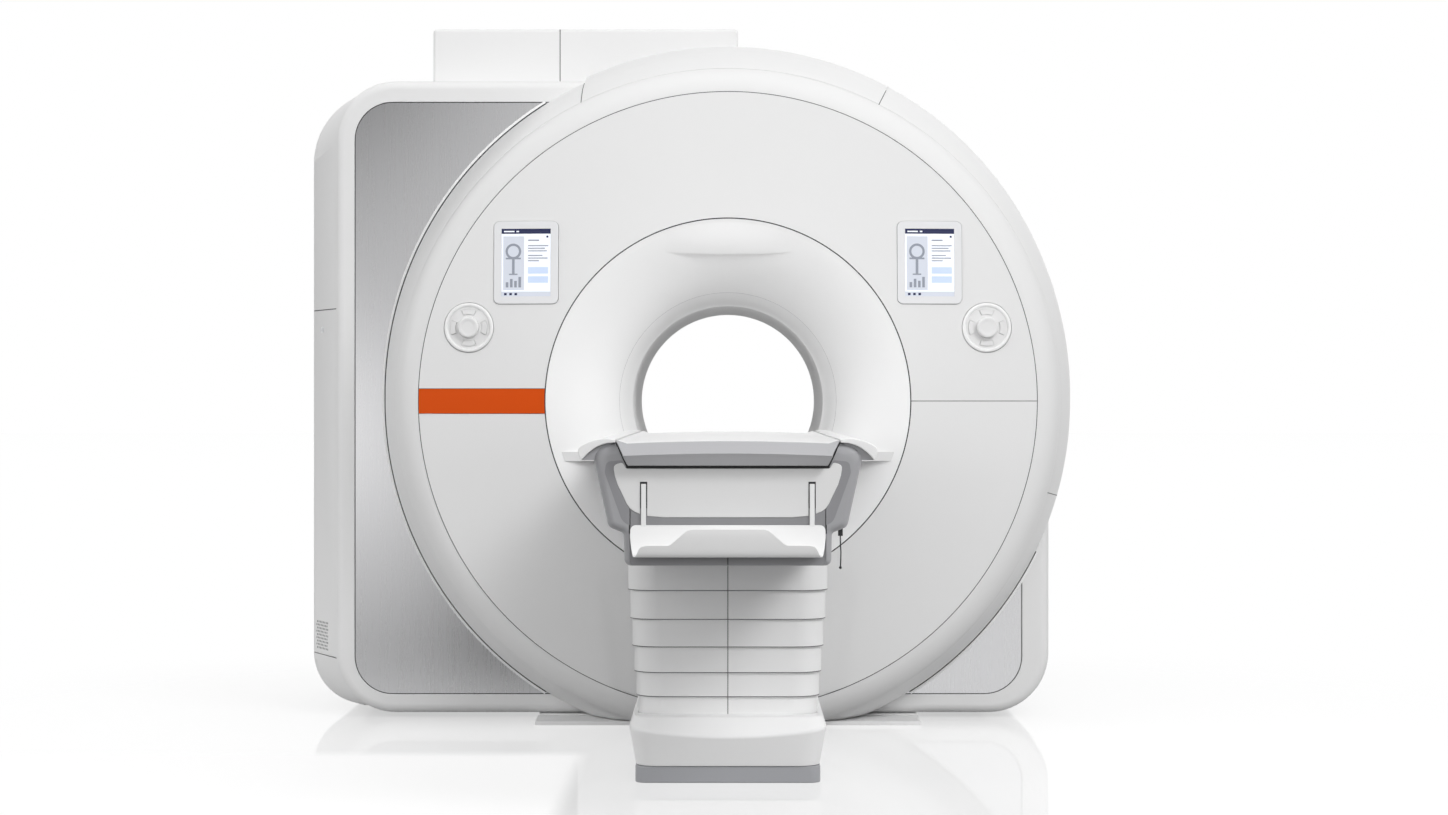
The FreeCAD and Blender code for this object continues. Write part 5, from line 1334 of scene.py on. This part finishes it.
def build_body():
    """A tub with drawn-in sides, its front edge rounded more towards the shoulders."""
    tub = upright_plate("table_body_shell", rounded(mirrored(BODY_HALF)), TABLE_FRONT, TABLE_LONG)
    weigh_front_edges(tub)
    modify(tub, "BEVEL", width=0.030, segments=8, limit_method="WEIGHT", use_clamp_overlap=False)
    cut(tub, upright_plate("cavity", mirrored(CAVITY_HALF), TABLE_FRONT + 0.022, TABLE_LONG - 0.048),
        front_box(0, 0.2375, 0.836, 0.870, -0.01, 0.03), front_box(0, GROOVE_X, 0.50, 0.751, -0.01, 0.003),
        *(front_box(x, 0.0017, 0.690, 0.751, -0.01, 0.012) for x in (-GROOVE_X, GROOVE_X)),
        *(front_box(x, SLOT_HALF, 0.700, 0.812, -0.01, 0.016) for x in (-STRAP_X, STRAP_X)))
    finish_smooth(tub, 32, "table grey", LIFT, "table_grey", "table_body")
    # The middle cover's darker grey is painted shade, for the shade under the end panel and tray.
    middle = upright_plate("table_middle_cover", rounded(mirrored(
        ((GROOVE_X - 0.002, 0.6165, 0.006), (GROOVE_X - 0.002, 0.7505)))), TABLE_FRONT + 0.0035, -0.0030)
    cut(middle, front_box(0, 0.0012, 0.50, 0.665, -0.01, 0.010))
    round_off(middle, 0.0008, 2)
    finish_smooth(middle, 35, "middle grey", LIFT, "table_grey")
    build_body_shades()
    outline = rounded_box((-0.267, -1.9858), (0.267, -0.8692), 0.07, 0.02)
    block = level_plate("table_head_block", outline, 0.6150, 0.085)
    round_off(block, 0.004)
    finish_smooth(block, 35, "table grey", LIFT, "table_grey")


def build_body_shades():
    """Painted shade: near-black strips in the gap round the table top and at the backs of the slots and
    grooves; and a darker grey band round the end panel.
    """
    edge = [(0.0, 0.8400), (0.2400, 0.8400), (0.2405, 0.8490), (0.2522, 0.8770), (0.2625, 0.9025),
            (TOP_HALF + 0.0008, 0.9040), (TOP_BASE_HALF + 0.0010, 0.8492), (0.0, 0.8492)]
    gap = upright_plate("top_gap_shade", mirrored(edge), TABLE_FRONT + 0.006, 0.004)
    finish(gap, "joint shade dark", LIFT, "table_grey")
    shade_sheets = [front_box(x, 0.0084, 0.7005, 0.8118, 0.0006, 0.0030) for x in (-STRAP_X, STRAP_X)]
    shade_sheets += [front_box(x, 0.0016, 0.6905, 0.7505, 0.0004, 0.0030) for x in (-GROOVE_X, GROOVE_X)]
    shade_sheets.append(front_box(0, 0.0011, 0.6175, 0.6640, 0.0012, 0.0029))
    finish(joined("slot_shade_linings", shade_sheets), "joint shade dark", LIFT, "table_grey")
    surround = upright_plate("panel_surround", rounded(mirrored((
        (0.2425, 0.7100, 0.03), (0.2870, 0.8330, 0.02), (0.2830, 0.8590, 0.012), (0.2465, 0.8620, 0.004),
        (0.2400, 0.8480), (0.2390, 0.8420)))), TABLE_FRONT - 0.0005, 0.0015)
    cut(surround, front_box(0, GROOVE_X, 0.60, 0.752, -0.01, 0.01),
        *(front_box(x, SLOT_HALF, 0.70, 0.812, -0.01, 0.01) for x in (-STRAP_X, STRAP_X)))
    smooth(surround, 40, False)
    finish(surround, "surround grey", LIFT, "table_grey")


def weigh_front_edges(tub):
    """Bevel weights for the front outline, except along the slot that the table top runs in."""
    weights = tub.data.attributes.new("bevel_weight_edge", "FLOAT", "EDGE")
    vertices = tub.data.vertices
    for edge in tub.data.edges:
        ends = [vertices[index].co for index in edge.vertices]
        in_slot = all(abs(end.x) < 0.2692 and end.z > 0.80 for end in ends)
        if in_slot or any(end.y > TABLE_FRONT + MERGE for end in ends):
            continue
        height = (ends[0].z + ends[1].z) / 2
        weights.data[edge.index].value = 0.62 + 0.38 * smoothstep((height - 0.850) / 0.035)


def build_end_panel():
    panel = upright_plate("end_panel_sheet", mirrored(PANEL_HALF), TABLE_FRONT + 0.004, -0.0055)
    round_off(panel, 0.0014, 3, 45)
    cut(panel, *(front_box(x, SLOT_HALF, 0.70, 0.812, -0.01, 0.0035) for x in (-STRAP_X, STRAP_X)))
    finish_smooth(panel, 40, "panel white", LIFT, "panel_white", "end_panel")


def build_wing(side, sign):
    """A thin arched fin with a grey web under it, set back from its end."""
    fin = lofted(f"table_wing_{side}", [
        [(sign * x, y, z) for x, z in drawn_in(WING_TOP + WING_UNDER, inset)]
        for y, inset in ((TABLE_FRONT, 0.0022), (TABLE_FRONT + 0.0007, 0.0008), (TABLE_FRONT + 0.0025, 0.0),
                         (TABLE_BACK - 0.0025, 0.0), (TABLE_BACK - 0.0007, 0.0008), (TABLE_BACK, 0.0022))])
    finish_smooth(fin, 40, "top white", LIFT, "rail_white", *(["side_rails"] if sign > 0 else []))
    web = [(sign * x, z) for x, z in WING_UNDER + ((0.2740, 0.8990), (0.2740, 0.8620))]
    piece = upright_plate(f"wing_web_{side}", web, TABLE_FRONT + 0.013, TABLE_LONG - 0.016)
    smooth(piece, 30, False)
    finish(piece, "table grey", LIFT, "table_grey")


def drawn_in(outline, inset):
    """The outline with each point moved inwards by the inset."""
    points = [Vector(point) for point in outline]
    turning = sum(a.x * b.y - b.x * a.y for a, b in zip(points, points[1:] + points[:1]))
    sign = 1 if turning > 0 else -1
    moved = []
    for before, here, after in zip(points[-1:] + points, points, points[1:] + points[:1]):
        along = ((here - before).normalized() + (after - here).normalized()).normalized()
        moved.append(here + sign * inset * Vector((-along.y, along.x)))
    return [(point.x, point.y) for point in moved]


TRAY_PATH = (                      # section of the tray's sheet from its back to its lip: y, z
    (-2.8370, 0.7110), (-2.8395, 0.7010), (-2.8435, 0.6885), (-2.8485, 0.6755), (-2.8540, 0.6630),
    (-2.8605, 0.6515), (-2.8680, 0.6430), (-2.8745, 0.6398), (-2.8805, 0.6400), (-2.8855, 0.6440),
    (-2.8895, 0.6530), (-2.8930, 0.6660), (-2.8958, 0.6790), (-2.8978, 0.6920), (-2.8984, 0.7045))
TRAY_FRONT = -2.92                 # where the cutters for the tray's outlines begin
TRAY_BACK_HALF = (
    (0.2156, 0.630), (0.2210, 0.6425), (0.2243, 0.6570), (0.2274, 0.6824), (0.2274, 0.7110, 0.013))
TRAY_LIP_HALF = (
    (0.2170, 0.6300), (0.2152, 0.6390), (0.2120, 0.6445), (0.2095, 0.6495), (0.2062, 0.6564),
    (0.2028, 0.6612), (0.1979, 0.6640), (0.1900, 0.6656), (0.1810, 0.6659), (0.1390, 0.6660),
    (0.1325, 0.6682), (0.1266, 0.6732), (0.1118, 0.6857), (0.1030, 0.6940), (0.0952, 0.7000),
    (0.0870, 0.7030), (0.0805, 0.7040))


def build_tray():
    """A bent sheet whose lip is low at the sides, on two flat straps."""
    path = softened(TRAY_PATH)
    tray = drawn("accessory_tray_sheet", [(-0.24, y, z) for y, z in path])
    edit(tray)
    bpy.ops.mesh.extrude_edges_move(TRANSFORM_OT_translate={"value": (0.48, 0, 0)})
    face_outwards()
    leave_edit()
    modify(tray, "SOLIDIFY", thickness=0.0032, offset=0, use_even_offset=True)
    sides = upright_plate("tray_sides", rounded(mirrored(TRAY_BACK_HALF)), TRAY_FRONT, 0.12)
    cut(tray, sides, kind="INTERSECT")
    lip = [(-0.30, 0.60)] + [(-x, z) for x, z in TRAY_LIP_HALF] + [(x, z) for x, z in reversed(TRAY_LIP_HALF)]
    lip += [(0.30, 0.60), (0.30, 0.76), (-0.30, 0.76)]
    cut(tray, upright_plate("lip_outline", lip, TRAY_FRONT, 0.0455))
    round_off(tray, 0.0007, 2, 60)
    finish_smooth(tray, 40, "bright white", LIFT, "tray_white", "accessory_tray")
    for side, x in (("left", -STRAP_X), ("right", STRAP_X)):
        strap = box(f"tray_strap_{side}", (x - 0.0058, -2.8395, 0.703), (x + 0.0058, -2.8352, 0.8070))
        round_off(strap, 0.0012, 3)
        finish_smooth(strap, 40, "bright white", LIFT, "tray_white")


def softened(path, steps=4):
    """A smooth run of points through the given ones."""
    points = [Vector(point) for point in path]
    points = [2 * points[0] - points[1]] + points + [2 * points[-1] - points[-2]]
    run = []
    for a, b, c, d in zip(points, points[1:], points[2:], points[3:]):
        for step in range(steps):
            t = step / steps
            run.append(0.5 * (2 * b + (c - a) * t + (2 * a - 5 * b + 4 * c - d) * t ** 2
                              + (3 * b - a - 3 * c + d) * t ** 3))
    return [(point.x, point.y) for point in run + [points[-2]]]


class FoldingCoverOperator(bpy.types.Operator):
    """Six nested slats and the lifting columns inside them"""
    bl_idname = "scanner.folding_cover"
    bl_label = "Folding cover"

    def execute(self, context):
        for index in range(1, 7):
            dress(f"slat_{index}", "slat white", 0.0015)
            build_slat_shades(index)
        # Painted light: the pale base white on the floor plate offsets the shade that falls on it under the
        # gantry.
        dress("lift_base", "base white")
        dress("lift_stage", "aluminium")
        return {"FINISHED"}


def build_slat_shades(index):
    """Painted shade: a dark strip along a slat's lower edge for the shadow in the gap under it, and a dark
    strip down its middle seam.
    """
    low, high = node_reach(f"slat_{index}")
    body = NODES[f"slat_{index}"]["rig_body"]
    seam = box(f"slat_seam_shade_{index}", (-0.0010, low.y - 0.0002, low.z + 0.002),
               (0.0010, low.y + 0.001, high.z - 0.002))
    finish(seam, "slat shade dark", body, "slat_white")

    def sheet(name, grow, z, height):
        return level_plate(name, rounded_box((low.x - grow, low.y - grow), (high.x + grow, high.y + grow),
                                             SLAT_CORNER + grow, steps=18), z, height)

    if index < 6:
        edge_shade = cut(sheet(f"slat_edge_shade_{index}", 0.0003, low.z - 0.0002, 0.0021),
                    sheet("inside", -0.0015, low.z - 0.01, 0.03))
        finish(edge_shade, "slat shade dark", body, "slat_white")


class TableBaseOperator(bpy.types.Operator):
    """Base cover of the table and its plinth"""
    bl_idname = "scanner.table_base"
    bl_label = "Table base"

    def execute(self, context):
        cover = lofted("table_base_shell", [base_ring(*station) for station in BASE_STATIONS])
        opening = rounded_box((-SLAT_HALF, SLAT_FRONT), (SLAT_HALF, SLAT_BACK), 0.05)
        cut(cover, box("foot_opening", (-0.222, -1.990, 0.0), (0.222, -0.884, 0.150)),
            level_plate("slat_opening", opening, 0.10, 0.12))
        finish_smooth(cover, 24, "base white", BASE, "base_white", "table_base_cover")
        dress("table_plinth", "plinth grey", 0.003, 3)
        return {"FINISHED"}


SLAT_HALF, SLAT_FRONT, SLAT_BACK = 0.2378, -1.9588, -0.8965
SLAT_CORNER = 0.076
BASE_BACK = -0.862
BASE_STATIONS = (                  # height, half width, front, how far the middle of the front is lowered
    (0.0445, 0.2370, -2.0130, 0.0), (0.0450, 0.2400, -2.0165, 0.0), (0.0470, 0.2415, -2.0180, 0.0),
    (0.1380, 0.2570, -2.0470, 0.0200), (0.1430, 0.2578, -2.0482, 0.0208), (0.1475, 0.2582, -2.0478, 0.0212),
    (0.1515, 0.2580, -2.0462, 0.0212), (0.1705, 0.2500, -2.0180, 0.0), (0.1735, 0.2475, -2.0130, 0.0),
    (0.1745, 0.2440, -2.0070, 0.0))


def base_ring(z, half, front, bow):
    """A rounded outline at a height; its front runs lower in the middle."""
    corner = 0.050
    ring = rounded_box((-half, front), (half, BASE_BACK), corner, 0.03, 8)
    wide = []
    for index, (x, y) in enumerate(ring):
        wide.append((x, y))
        after = ring[(index + 1) % len(ring)]
        if abs(y - front) < MERGE and abs(after[1] - front) < MERGE and after[0] - x > 0.1:
            wide += [(x + (after[0] - x) * step / 24, y) for step in range(1, 24)]
    dip = [max(0.0, 1 - (x / half) ** 2) * smoothstep((front + corner * 1.4 - y) / corner) for x, y in wide]
    return [(x, y, z - bow * low) for (x, y), low in zip(wide, dip)]


# ---------------------------------------------------------------- panel and registration

STEPS = (
    StudioOperator, ReleaseCordOperator, FrontCoversOperator, BoreOperator, RimOperator, HousingOperator,
    MagnetOperator, DisplaysOperator, ControlUnitsOperator, TableTopOperator, TableBodyOperator,
    FoldingCoverOperator, TableBaseOperator)


class ScannerPanel(bpy.types.Panel):
    bl_idname = "VIEW3D_PT_scanner"
    bl_label = "Scanner"
    bl_space_type = "VIEW_3D"
    bl_region_type = "UI"
    bl_category = "Scanner"

    def draw(self, context):
        layout = self.layout
        for group in (context.scene.scanner_sizes, context.scene.scanner_colours):
            for name in group.__annotations__:
                layout.prop(group, name)
        for step in STEPS:
            layout.operator(step.bl_idname)


CLASSES = (ScannerSizes, ScannerColours) + STEPS + (ScannerPanel,)


def register():
    for each in CLASSES:
        bpy.utils.register_class(each)
    bpy.types.Scene.scanner_sizes = bpy.props.PointerProperty(type=ScannerSizes)
    bpy.types.Scene.scanner_colours = bpy.props.PointerProperty(type=ScannerColours)


def unregister():
    del bpy.types.Scene.scanner_colours
    del bpy.types.Scene.scanner_sizes
    for each in reversed(CLASSES):
        bpy.utils.unregister_class(each)


def main():
    register()
    for step in STEPS:
        section, name = step.bl_idname.split(".")
        getattr(getattr(bpy.ops, section), name)()


if __name__ == "__main__":
    main()
